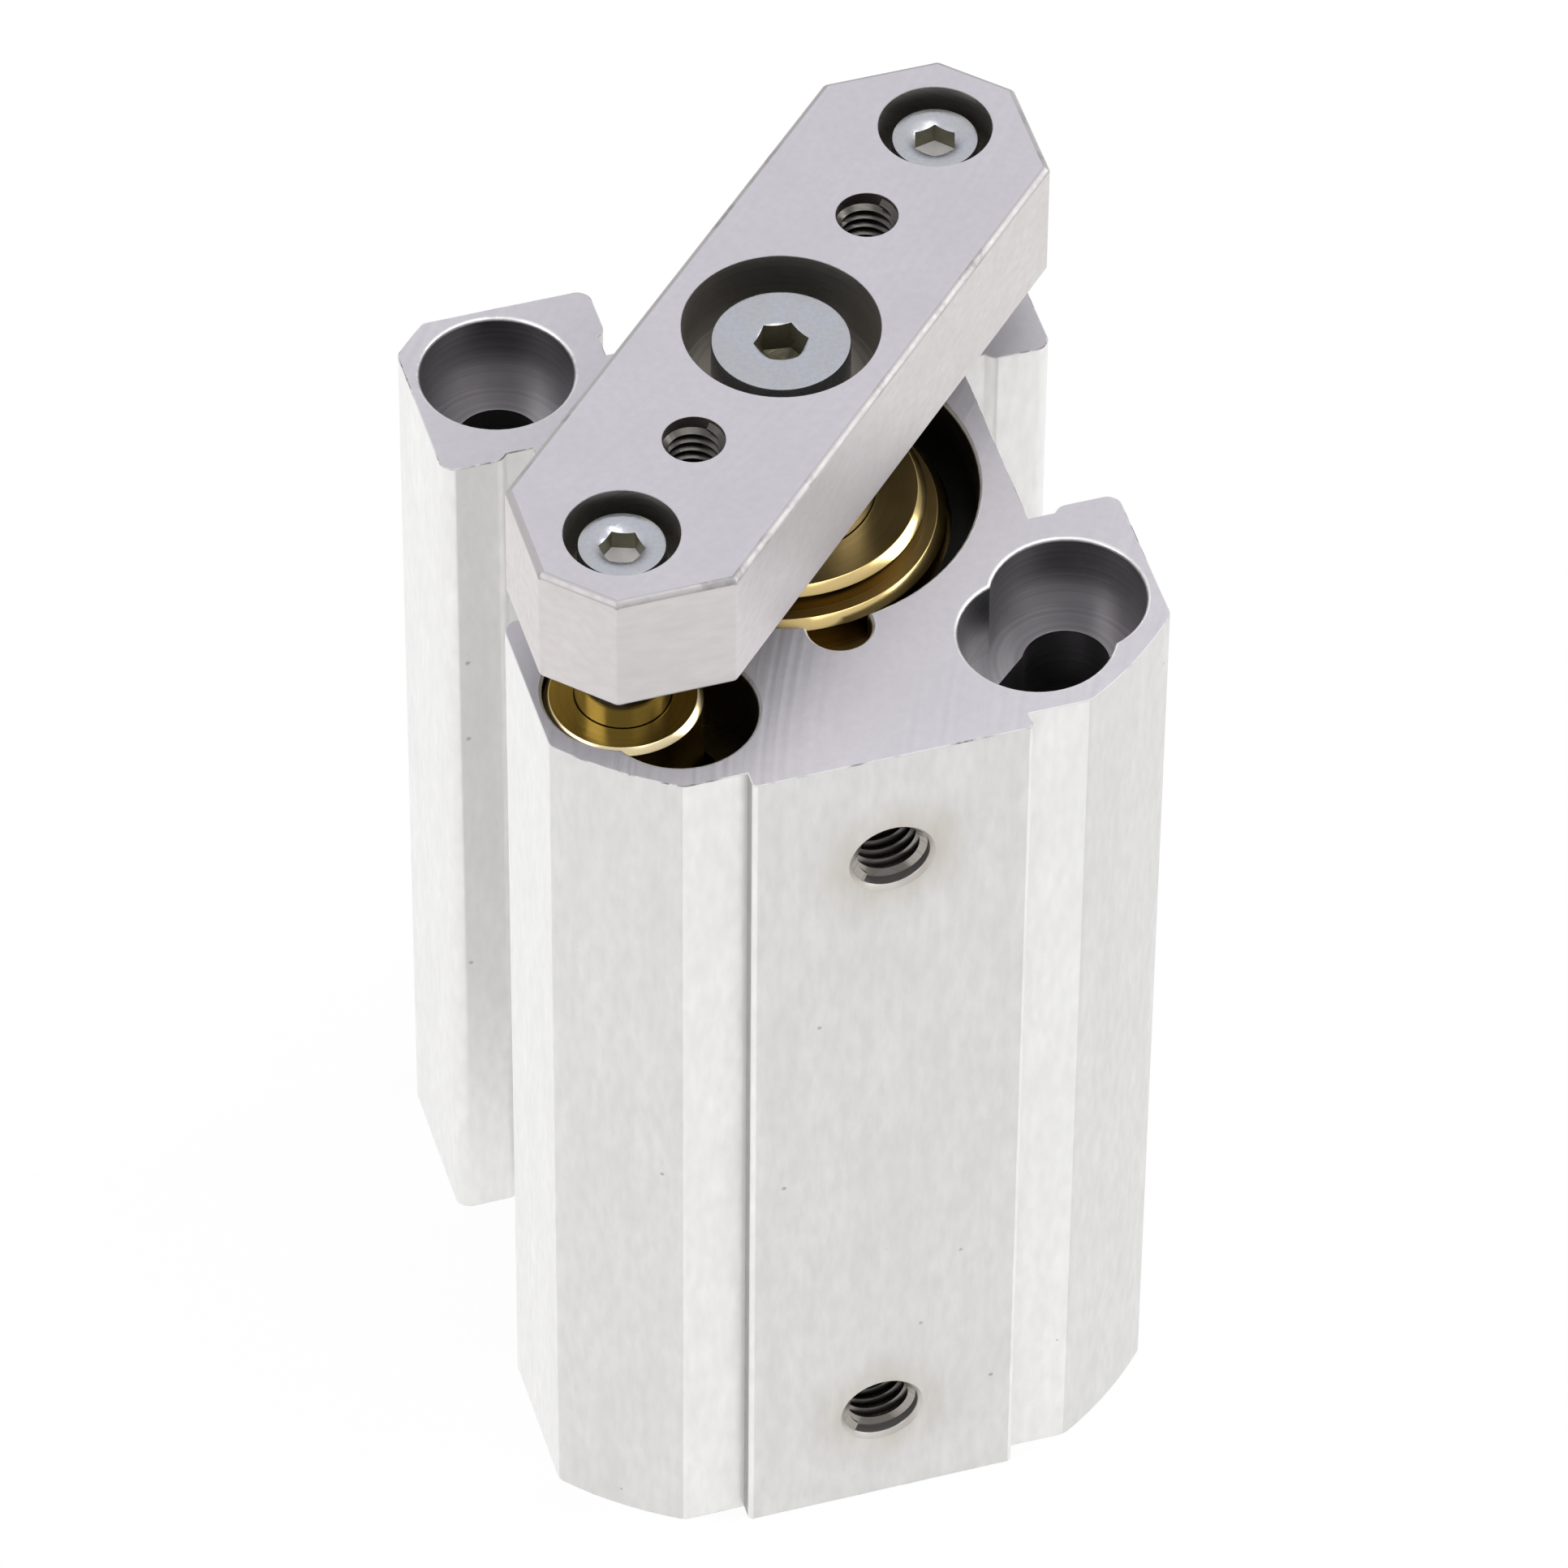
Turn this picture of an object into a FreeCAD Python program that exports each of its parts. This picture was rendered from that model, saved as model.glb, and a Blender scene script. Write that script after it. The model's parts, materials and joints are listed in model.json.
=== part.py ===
"""Guided short-stroke cylinder: an extruded body, a piston and rod, and a guided tool plate.

Millimetres. The origin is on the bore axis at the body's bottom face, +Z is the way the
rod goes out and the air ports face -Y. The model is at rest, with the piston on its lower stop.
"""
import FreeCAD, Part
import math
import os

import Sketcher

ROOT_TWO = math.sqrt(2)
FULL_TURN = 360
RING_TURN = 330
GROOVE_TURN = 180
GROOVE_COUNT = 3
COUNTERSINK_ANGLE = 90
HEXAGON_SIDES = 6
HAIR = 1e-6
SIZES = {
    # Extruded body.
    "body_width": 40.0,
    "shelf_front": 23.3,
    "panel_front": 24.5,
    "panel_width": 18.0,
    "corner_diameter": 53.4,
    "bore_diameter": 25.0,
    "bore_wall": 1.5,
    "groove_mouth": 13.6,
    "groove_undercut": 0.5,
    "groove_lip": 3.8,
    "groove_edge": 0.6,
    # Mounting holes and the corner pitch that they share with the guides.
    "corner_pitch": 28.74,
    "mount_hole": 5.5,
    "mount_head_bore": 9.8,
    "mount_head_depth": 6.0,
    "slot_end": 11.5,
    "slot_wall": 1.5,
    "slot_width": 5.1,
    "slot_depth": 14.0,
    # Air ports.
    "port_thread": 5.0,
    "port_depth": 7.5,
    "port_edge": 0.3,
    "port_passage": 2.4,
    "port_drop": 9.2,
    "port_rise": 8.2,
    # Head end.
    "head_plate_recess": 0.8,
    "head_plate_thickness": 4.0,
    "head_shoulder": 0.5,
    "gasket_section": 1.2,
    # Motion.
    "stroke": 30.0,
    "stop_gap": 0.1,
    # Piston.
    "piston_gap": 0.1,
    "skirt_wall": 0.98,
    "skirt_length": 4.8,
    "land": 1.0,
    "top_land": 0.6,
    "seal_width": 2.6,
    "seal_depth": 2.6,
    "magnet_width": 3.0,
    "magnet_depth": 2.2,
    "wear_ring_width": 2.0,
    "wear_ring_depth": 1.0,
    "bumper_proud": 0.7,
    "bumper_seat": 1.5,
    "bumper_inner": 15.0,
    "bumper_outer": 20.0,
    # Piston rod.
    "rod_diameter": 12.0,
    "spigot_diameter": 8.0,
    "spigot_flare": 1.3,
    # Rod collar and its retaining ring.
    "collar_length": 17.6,
    "collar_drop": 0.3,
    "boss_chamfer": 0.55,
    "step_drop": 2.0,
    "step_width": 1.3,
    "step_chamfer": 0.6,
    "ring_drop": 3.2,
    "ring_thickness": 1.2,
    "ring_width": 2.28,
    "ring_clearance": 0.3,
    "ring_groove_depth": 0.6,
    "ring_notch_diameter": 4.1,
    "ring_notch_depth": 2.4,
    "flange_length": 3.1,
    "collar_skirt": 21.0,
    "rod_seal_width": 3.0,
    "rod_seal_depth": 2.1,
    "rod_seal_drop": 2.4,
    # Guides.
    "guide_rod_diameter": 6.0,
    "guide_rod_rise": 8.0,
    "guide_play": 0.5,
    "bush_diameter": 10.0,
    "bush_length": 12.0,
    "bush_spacing": 6.0,
    "bush_drop": 0.3,
    "bush_chamfer": 0.4,
    # Tool plate.
    "plate_gap": 4.75,
    "plate_thickness": 9.05,
    "plate_width": 16.1,
    "plate_end": 5.53,
    "plate_overhang": 0.2,
    "plate_edge": 0.3,
    "tap_pitch": 22.46,
    "tap_thread": 4.0,
    "tap_edge": 0.15,
    # Screws: the rod's low-head screw and the guide rods' cap screws.
    "rod_screw_thread": 5.0,
    "rod_screw_head": 8.7,
    "rod_screw_head_height": 3.5,
    "rod_screw_socket": 3.0,
    "rod_screw_socket_depth": 2.2,
    "rod_screw_length": 14.0,
    "rod_screw_recess": 1.25,
    "rod_screw_bore": 12.4,
    "guide_screw_thread": 3.0,
    "guide_screw_head": 5.5,
    "guide_screw_head_height": 3.0,
    "guide_screw_socket": 2.5,
    "guide_screw_socket_depth": 1.6,
    "guide_screw_length": 12.0,
    "guide_screw_recess": 1.0,
    "guide_screw_bore": 7.2,
    "screw_hole_play": 0.5,
    "screw_head_edge": 0.35,
    "tapped_run_out": 2.0,
    # Clearances: fit between fixed pieces, run between sliding ones.
    "fit_gap": 0.02,
    "run_gap": 0.04,
    "small_chamfer": 0.5,
}


class Size:
    """A length held twice: as a number for drawing and as the expression that drives it."""

    def __init__(self, value, text):
        self.value = value
        self.text = text

    def joined(self, sign, value, other):
        """The Size of two joined by an arithmetic sign."""
        return Size(value, f"({self.text} {sign} {as_size(other).text})")

    def __add__(self, other):
        return self.joined("+", self.value + as_size(other).value, other)

    def __sub__(self, other):
        return self.joined("-", self.value - as_size(other).value, other)

    def __mul__(self, other):
        return self.joined("*", self.value * as_size(other).value, other)

    def __truediv__(self, other):
        return self.joined("/", self.value / as_size(other).value, other)

    def __neg__(self):
        return Size(-self.value, f"(0 - {self.text})")


def as_size(value):
    """Take a plain number or a Size and give a Size."""
    return value if isinstance(value, Size) else Size(float(value), repr(float(value)))


def root(square):
    """Square root of a Size."""
    return Size(math.sqrt(square.value), f"sqrt({square.text})")


ZERO = as_size(0)

document = FreeCAD.newDocument("guided_cylinder")
sheet = document.addObject("Spreadsheet::Sheet", "Sizes")
for row, (alias, number) in enumerate(SIZES.items(), start=1):
    sheet.set(f"A{row}", str(number))
    sheet.setAlias(f"A{row}", alias)
document.recompute()


def size(alias):
    """The sheet's value of that name."""
    return Size(float(sheet.get(alias)), f"Sizes.{alias}")


# Heights that several pieces share, worked out from the bottom face upwards.
head_plate_top = size("head_plate_recess") + size("head_plate_thickness")
piston_bottom = head_plate_top + size("stop_gap") + size("bumper_proud")
piston_groove_base = piston_bottom + size("skirt_length")
piston_grooves = size("seal_width") + size("magnet_width") + size("wear_ring_width") + size("land") * 3
piston_top = piston_groove_base + piston_grooves + size("top_land")
collar_bottom = piston_top + size("bumper_proud") + size("stroke") + size("stop_gap")
collar_top = collar_bottom + size("collar_length")
body_top = collar_top + size("collar_drop")
flange_top = body_top - size("ring_drop") - size("ring_thickness") - size("fit_gap") * 2
flange_bottom = flange_top - size("flange_length")
plate_bottom = body_top + size("plate_gap")
plate_top = plate_bottom + size("plate_thickness")
upper_bush_bottom = body_top - size("bush_drop") - size("bush_length")
lower_bush_bottom = upper_bush_bottom - size("bush_spacing") - size("bush_length")
rod_head_seat = plate_top - size("rod_screw_recess") - size("rod_screw_head_height")
guide_head_seat = plate_top - size("guide_screw_recess") - size("guide_screw_head_height")

# Radii and places across the body.
bore_radius = size("bore_diameter") / 2
rod_radius = size("rod_diameter") / 2
corner = size("corner_pitch") / 2
half_width = size("body_width") / 2
slot_x = size("slot_end")
slot_y = size("shelf_front") - size("slot_wall") - size("mount_head_bore") / 2
head_seat_radius = bore_radius + size("head_shoulder")
ring_groove_radius = bore_radius + size("ring_groove_depth")
ring_radius = ring_groove_radius - size("fit_gap")
ring_inner_radius = ring_radius - size("ring_width")
gasket_radius = size("gasket_section") / 2
GUIDE_SIDES = {"front": -corner, "back": corner}


def new_body(label, x=None, y=None):
    """A body on the bore axis, or on an axis beside it."""
    body = document.addObject("PartDesign::Body", label)
    body.Label = label
    for path, place in (("Placement.Base.x", x), ("Placement.Base.y", y)):
        if place is not None:
            body.setExpression(path, place.text)
    return body


def new_sketch(body, name, role="XY_Plane", height=None):
    """A sketch on one of the body's own planes, raised along that plane's normal."""
    sketch = body.newObject("Sketcher::SketchObject", f"{body.Name}_{name}")
    plane = next(item for item in body.Origin.OriginFeatures if item.Role == role)
    sketch.AttachmentSupport = [(plane, "")]
    sketch.MapMode = "FlatFace"
    if height is not None:
        sketch.setExpression("AttachmentOffset.Base.z", height.text)
    return sketch


def drive(sketch, constraint, value):
    """Add a constraint and bind its number to a Size."""
    index = sketch.addConstraint(constraint)
    sketch.setExpression(f"Constraints[{index}]", value.text)


def pin_point(sketch, geometry, vertex, point):
    """Hold a point at its two distances from the sketch's origin."""
    for kind, axis, distance in (("DistanceX", -2, point[0]), ("DistanceY", -1, point[1])):
        if distance is ZERO:
            sketch.addConstraint(Sketcher.Constraint("PointOnObject", geometry, vertex, axis))
        else:
            drive(sketch, Sketcher.Constraint(kind, -1, 1, geometry, vertex, distance.value), distance)


def draw_polygon(sketch, points):
    """Draw a closed outline of straight lines through driven points."""
    corners = [FreeCAD.Vector(x.value, y.value, 0) for x, y in points]
    lines = [sketch.addGeometry(Part.LineSegment(start, corners[(index + 1) % len(corners)]), False)
             for index, start in enumerate(corners)]
    for index, line in enumerate(lines):
        following = lines[(index + 1) % len(lines)]
        sketch.addConstraint(Sketcher.Constraint("Coincident", line, 2, following, 1))
    for line, point in zip(lines, points):
        pin_point(sketch, line, 1, point)


def draw_circle(sketch, centre, radius):
    """Draw a circle with a driven centre and radius."""
    middle = FreeCAD.Vector(centre[0].value, centre[1].value, 0)
    circle = sketch.addGeometry(Part.Circle(middle, FreeCAD.Vector(0, 0, 1), radius.value), False)
    drive(sketch, Sketcher.Constraint("Radius", circle, radius.value), radius)
    pin_point(sketch, circle, 3, centre)


def draw_hexagon(sketch, across_flats):
    """Draw a hexagon about the origin."""
    reach = across_flats / math.sqrt(3)
    turns = [math.radians(FULL_TURN / HEXAGON_SIDES * step) for step in range(HEXAGON_SIDES)]
    flat = [(reach * math.cos(turn), reach * math.sin(turn)) for turn in turns]
    draw_polygon(sketch, [(x, ZERO if abs(y.value) < HAIR else y) for x, y in flat])


def add_pad(body, sketch, length):
    """Raise a sketch into a solid."""
    pad = body.newObject("PartDesign::Pad", f"{sketch.Name}_pad")
    pad.Profile = sketch
    pad.setExpression("Length", length.text)
    document.recompute()
    return pad


def add_cut(body, sketch, depth=None, upwards=False):
    """Cut a sketch's outline out of the body, right through where no depth is given."""
    before = body.Shape.Volume
    pocket = body.newObject("PartDesign::Pocket", f"{sketch.Name}_cut")
    pocket.Profile = sketch
    pocket.Reversed = upwards
    if depth is None:
        pocket.Type = "ThroughAll"
    else:
        pocket.setExpression("Length", depth.text)
    document.recompute()
    if body.Shape.Volume >= before:
        raise RuntimeError(f"{pocket.Name} cuts nothing")
    return pocket


def add_hole(body, sketch, diameter, depth=None, head=None, upwards=False):
    """Drill round holes at a sketch's circles.

    head is None, ("Counterbore", diameter, depth) or ("Countersink", diameter).
    """
    before = body.Shape.Volume
    hole = body.newObject("PartDesign::Hole", f"{sketch.Name}_hole")
    hole.Profile = sketch
    document.recompute()
    hole.Reversed = upwards
    hole.setExpression("Diameter", diameter.text)
    hole.DrillPoint = "Flat"
    if depth is None:
        hole.DepthType = "ThroughAll"
    else:
        hole.DepthType = "Dimension"
        hole.setExpression("Depth", depth.text)
    if head is not None:
        hole.HoleCutType = head[0]
        hole.HoleCutCustomValues = True
        hole.setExpression("HoleCutDiameter", head[1].text)
        if head[0] == "Counterbore":
            hole.setExpression("HoleCutDepth", head[2].text)
        else:
            hole.HoleCutCountersinkAngle = COUNTERSINK_ANGLE
    document.recompute()
    if body.Shape.Volume >= before:
        raise RuntimeError(f"{hole.Name} drills nothing")
    return hole


def add_turn(body, sketch, angle=FULL_TURN):
    """Spin a sketch about its upright axis; less than a full turn is shared by its two sides."""
    spin = body.newObject("PartDesign::Revolution", f"{body.Name}_turn")
    spin.Profile = sketch
    spin.ReferenceAxis = (sketch, ["V_Axis"])
    spin.Midplane = angle != FULL_TURN
    spin.Angle = angle
    document.recompute()


def turned(label, points, x=None, y=None):
    """A turned piece: a half profile of (radius, height) points spun about its own axis."""
    body = new_body(label, x, y)
    sketch = new_sketch(body, "profile", "XZ_Plane")
    draw_polygon(sketch, points)
    add_turn(body, sketch)
    return body


def ring(label, inner, outer, low, high, x=None, y=None):
    """A plain turned ring of rectangular section."""
    return turned(label, [(inner, low), (outer, low), (outer, high), (inner, high)], x, y)


def chamfer_rims(body, feature, height, width):
    """Chamfer the feature's straight edges that lie at one height."""
    rims = [f"Edge{index}" for index, edge in enumerate(feature.Shape.Edges, start=1)
            if all(abs(vertex.Z - height.value) < HAIR for vertex in edge.Vertexes)]
    chamfer = body.newObject("PartDesign::Chamfer", f"{body.Name}_rim_{len(body.Group)}")
    chamfer.Base = (feature, rims)
    chamfer.setExpression("Size", width.text)
    document.recompute()
    return chamfer


def build_tube():
    """The extruded body with its bore, mounting holes, guide bores, sensor grooves and ports."""
    half = half_width
    shelf = -size("shelf_front")
    panel = -size("panel_front")
    side = size("panel_width") / 2
    body = new_body("cylinder_tube")

    outline = new_sketch(body, "outline")
    draw_polygon(outline, [(half, half), (-half, half), (-half, shelf), (-side, shelf),
                           (-side, panel), (side, panel), (side, shelf), (half, shelf)])
    add_pad(body, outline, body_top)

    # Every corner is trimmed to one circle about the bore.
    trim = new_sketch(body, "corner_trim", height=body_top)
    stock = half + size("shelf_front")
    draw_circle(trim, (ZERO, ZERO), size("corner_diameter") / 2)
    draw_polygon(trim, [(stock, stock), (-stock, stock), (-stock, -stock), (stock, -stock)])
    add_cut(body, trim)

    add_sensor_grooves(body)
    add_bore(body)
    add_mounting_holes(body)
    add_guide_bores(body)
    add_ports(body)
    return body


def add_sensor_grooves(body):
    """Cut the undercut grooves along the right, back and left faces."""
    mouth = size("groove_mouth") / 2
    inner = mouth + size("groove_undercut")
    lip = half_width - size("groove_lip")
    edge = size("groove_edge")
    floor = bore_radius + size("bore_wall")
    right_half = [(half_width, mouth + edge), (half_width - edge, mouth), (lip, mouth),
                  (lip - size("groove_undercut"), inner), (floor, inner)]
    groove = new_sketch(body, "sensor_groove", height=body_top)
    draw_polygon(groove, right_half + [(x, -y) for x, y in reversed(right_half)])
    cut = add_cut(body, groove)
    pattern = body.newObject("PartDesign::PolarPattern", "sensor_grooves")
    pattern.Originals = [cut]
    pattern.Axis = (groove, ["N_Axis"])
    pattern.Angle = GROOVE_TURN
    pattern.Occurrences = GROOVE_COUNT
    body.Tip = pattern
    document.recompute()


def add_bore(body):
    """Bore the body and cut the head plate's seat, the ring groove and the ring's tool notch."""
    bore = new_sketch(body, "bore", height=body_top)
    draw_circle(bore, (ZERO, ZERO), bore_radius)
    add_cut(body, bore)

    seat = new_sketch(body, "head_seat")
    draw_circle(seat, (ZERO, ZERO), head_seat_radius)
    add_cut(body, seat, head_plate_top, upwards=True)

    groove_top = body_top - size("ring_drop")
    section = new_sketch(body, "ring_groove", "XZ_Plane")
    inside = bore_radius - size("ring_groove_depth")
    draw_polygon(section, [(inside, flange_top), (ring_groove_radius, flange_top),
                           (ring_groove_radius, groove_top), (inside, groove_top)])
    groove = body.newObject("PartDesign::Groove", "retaining_groove")
    groove.Profile = section
    groove.ReferenceAxis = (section, ["V_Axis"])
    groove.Angle = FULL_TURN
    document.recompute()

    notch = new_sketch(body, "ring_notch", height=body_top)
    notch_radius = size("ring_notch_diameter") / 2
    draw_circle(notch, (ZERO, notch_radius - bore_radius - size("ring_notch_depth")), notch_radius)
    add_cut(body, notch, body_top - flange_top)


def add_mounting_holes(body):
    """Drill the counterbored holes at the two free corners, and the slot beside the front one."""
    head = ("Counterbore", size("mount_head_bore"), size("mount_head_depth"))
    back_left = (-corner, corner)
    front_right = (corner, -corner)
    slot_right = (slot_x, -slot_y)
    slot_left = (-slot_x, -slot_y)
    holes = (("corner_holes", (back_left, front_right), size("mount_hole"), None),
             ("slot_holes", (slot_left, slot_right), size("slot_width"), size("slot_depth")))
    for name, centres, diameter, depth in holes:
        sketch = new_sketch(body, name, height=body_top)
        for centre in centres:
            draw_circle(sketch, centre, diameter / 2)
        add_hole(body, sketch, diameter, depth, head)

    # The slot joins the front right corner hole to the one beside it.
    run_x = slot_x - corner
    run_y = corner - slot_y
    length = root(run_x * run_x + run_y * run_y)
    across_x = run_y / length * (size("slot_width") / 2)
    across_y = run_x / length * (size("slot_width") / 2)
    slot = new_sketch(body, "slot", height=body_top)
    draw_polygon(slot, [(front_right[0] + across_x, front_right[1] - across_y),
                        (slot_right[0] + across_x, slot_right[1] - across_y),
                        (slot_right[0] - across_x, slot_right[1] + across_y),
                        (front_right[0] - across_x, front_right[1] + across_y)])
    add_cut(body, slot, size("slot_depth"))


def add_guide_bores(body):
    """Bore the two guide corners for their bushes, with a relief for the rod right through."""
    bore = size("bush_diameter") + size("fit_gap") * 2
    relief = size("guide_rod_diameter") + size("guide_play") * 2
    for name, diameter, depth in (("guide_bores", bore, body_top - lower_bush_bottom),
                                  ("guide_reliefs", relief, None)):
        sketch = new_sketch(body, name, height=body_top)
        for place in GUIDE_SIDES.values():
            draw_circle(sketch, (place, place), diameter / 2)
        add_cut(body, sketch, depth)


def add_ports(body):
    """Tap the two air ports in the front panel and drill their passages into the bore."""
    heights = (body_top - size("port_drop"), size("port_rise"))
    mouths = new_sketch(body, "ports", "XZ_Plane", size("panel_front"))
    passages = new_sketch(body, "port_passages", "XZ_Plane", size("panel_front"))
    for height in heights:
        draw_circle(mouths, (ZERO, height), size("port_thread") / 2)
        draw_circle(passages, (ZERO, height), size("port_passage") / 2)
    countersink = ("Countersink", size("port_thread") + size("port_edge") * 2)
    add_hole(body, mouths, size("port_thread"), size("port_depth"), countersink)
    add_cut(body, passages, size("panel_front") - bore_radius + size("port_passage") / 2)


def build_head_end():
    """The head plate that closes the bottom of the bore, and its gasket."""
    outer = head_seat_radius - size("fit_gap")
    low = size("head_plate_recess")
    edge = size("small_chamfer")
    middle = (low + head_plate_top) / 2
    groove_low = middle - gasket_radius - size("fit_gap")
    groove_high = middle + gasket_radius + size("fit_gap")
    groove_floor = outer - size("gasket_section")
    turned("head_plate", [(ZERO, low), (outer - edge, low), (outer, low + edge),
                          (outer, groove_low), (groove_floor, groove_low),
                          (groove_floor, groove_high), (outer, groove_high),
                          (outer, head_plate_top), (ZERO, head_plate_top)])
    build_gasket("head_plate_gasket", outer, middle)


def build_gasket(label, outer, middle):
    """A round-section gasket that fills a groove below a turned outer radius."""
    body = new_body(label)
    section = new_sketch(body, "section", "XZ_Plane")
    draw_circle(section, (outer - gasket_radius, middle), gasket_radius)
    add_turn(body, section)


def build_collar():
    """The rod collar with its boss, step and flange, its gasket, the rod seal and the retaining ring."""
    inner = rod_radius + size("run_gap")
    step = ring_inner_radius - size("ring_clearance")
    boss = step - size("step_width")
    flange = bore_radius - size("fit_gap")
    skirt = size("collar_skirt") / 2
    edge = size("small_chamfer")
    step_top = body_top - size("step_drop")
    middle = (flange_top + flange_bottom) / 2
    groove_low = middle - gasket_radius - size("fit_gap")
    groove_high = middle + gasket_radius + size("fit_gap")
    groove_floor = flange - size("gasket_section")
    seal_high = body_top - size("rod_seal_drop")
    seal_low = seal_high - size("rod_seal_width")
    seal_floor = rod_radius + size("rod_seal_depth")
    turned("rod_collar", [(inner, collar_bottom), (skirt - edge, collar_bottom),
                          (skirt, collar_bottom + edge), (skirt, flange_bottom), (flange, flange_bottom),
                          (flange, groove_low), (groove_floor, groove_low),
                          (groove_floor, groove_high), (flange, groove_high),
                          (flange, flange_top), (step, flange_top),
                          (step, step_top - size("step_chamfer")), (step - size("step_chamfer"), step_top),
                          (boss, step_top), (boss, collar_top - size("boss_chamfer")),
                          (boss - size("boss_chamfer"), collar_top), (inner, collar_top),
                          (inner, seal_high), (seal_floor, seal_high),
                          (seal_floor, seal_low), (inner, seal_low)])
    build_gasket("collar_gasket", flange, middle)

    # The seal's lip opens towards the pressure below it.
    lip_root = rod_radius + size("rod_seal_depth") / 2
    turned("rod_seal", [(inner, seal_low + size("fit_gap")), (lip_root, (seal_low + seal_high) / 2),
                        (seal_floor - size("fit_gap"), seal_low + size("fit_gap")),
                        (seal_floor - size("fit_gap"), seal_high - size("fit_gap")),
                        (inner, seal_high - size("fit_gap"))])
    build_retaining_ring()


def build_retaining_ring():
    """The open spring ring that holds the collar, with its gap at the tool notch."""
    body = new_body("collar_retaining_ring")
    low = flange_top + size("fit_gap")
    section = new_sketch(body, "section", "YZ_Plane")
    high = low + size("ring_thickness")
    draw_polygon(section, [(ring_inner_radius, low), (ring_radius, low),
                           (ring_radius, high), (ring_inner_radius, high)])
    add_turn(body, section, RING_TURN)


def build_piston():
    """The piston on its rod, with its seal, magnet, wear ring and the two bumpers."""
    outer = bore_radius - size("piston_gap")
    spigot = size("spigot_diameter") / 2
    flare = size("spigot_flare")
    bumper_inner = size("bumper_inner") / 2 - size("fit_gap")
    bumper_outer = size("bumper_outer") / 2 + size("fit_gap")
    skirt = bumper_outer + size("skirt_wall")
    seat = size("bumper_seat")
    hole = spigot + size("fit_gap")
    profile = [(hole + flare, piston_bottom), (bumper_inner, piston_bottom),
               (bumper_inner, piston_bottom + seat), (bumper_outer, piston_bottom + seat),
               (bumper_outer, piston_bottom), (skirt, piston_bottom),
               (skirt, piston_groove_base), (outer, piston_groove_base)]
    rings = (("piston_seal", size("seal_width"), size("seal_depth")),
             ("piston_magnet", size("magnet_width"), size("magnet_depth")),
             ("piston_wear_ring", size("wear_ring_width"), size("wear_ring_depth")))
    level = piston_groove_base
    for label, width, depth in rings:
        low = level + size("land")
        high = low + width
        floor = outer - depth
        profile += [(outer, low), (floor, low), (floor, high), (outer, high)]
        face = bore_radius - size("run_gap") if label != "piston_magnet" else outer
        ring(label, floor + size("fit_gap"), face, low + size("fit_gap"), high - size("fit_gap"))
        level = high
    profile += [(outer, piston_top), (bumper_outer, piston_top), (bumper_outer, piston_top - seat),
                (bumper_inner, piston_top - seat), (bumper_inner, piston_top), (hole, piston_top),
                (hole, piston_bottom + flare)]
    turned("piston", profile)

    bumper_faces = (size("bumper_inner") / 2, size("bumper_outer") / 2)
    ring("head_bumper", *bumper_faces, piston_bottom - size("bumper_proud"), piston_bottom + seat)
    ring("rod_bumper", *bumper_faces, piston_top - seat, piston_top + size("bumper_proud"))

    thread = size("rod_screw_thread") / 2
    thread_end = rod_head_seat - size("rod_screw_length") - size("tapped_run_out")
    edge = size("small_chamfer")
    turned("piston_rod", [(ZERO, piston_bottom), (spigot + flare, piston_bottom),
                          (spigot, piston_bottom + flare), (spigot, piston_top),
                          (rod_radius, piston_top), (rod_radius, plate_bottom - edge),
                          (rod_radius - edge, plate_bottom), (thread, plate_bottom),
                          (thread, thread_end), (ZERO, thread_end)])


def build_guides():
    """Two guide rods, each in an upper and a lower bush of the body."""
    rod = size("guide_rod_diameter") / 2
    inner = rod + size("run_gap")
    outer = size("bush_diameter") / 2
    edge = size("bush_chamfer")
    thread = size("guide_screw_thread") / 2
    thread_end = guide_head_seat - size("guide_screw_length") - size("tapped_run_out")
    foot = size("guide_rod_rise")
    tip = size("small_chamfer")
    for side, place in GUIDE_SIDES.items():
        for level, low in (("upper", upper_bush_bottom), ("lower", lower_bush_bottom)):
            high = low + size("bush_length")
            turned(f"{side}_{level}_guide_bush",
                   [(inner, low), (outer - edge, low), (outer, low + edge), (outer, high - edge),
                    (outer - edge, high), (inner, high)], place, place)
        turned(f"{side}_guide_rod",
               [(ZERO, foot), (rod - tip, foot), (rod, foot + tip), (rod, plate_bottom - tip),
                (rod - tip, plate_bottom), (thread, plate_bottom), (thread, thread_end),
                (ZERO, thread_end)], place, place)


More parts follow.
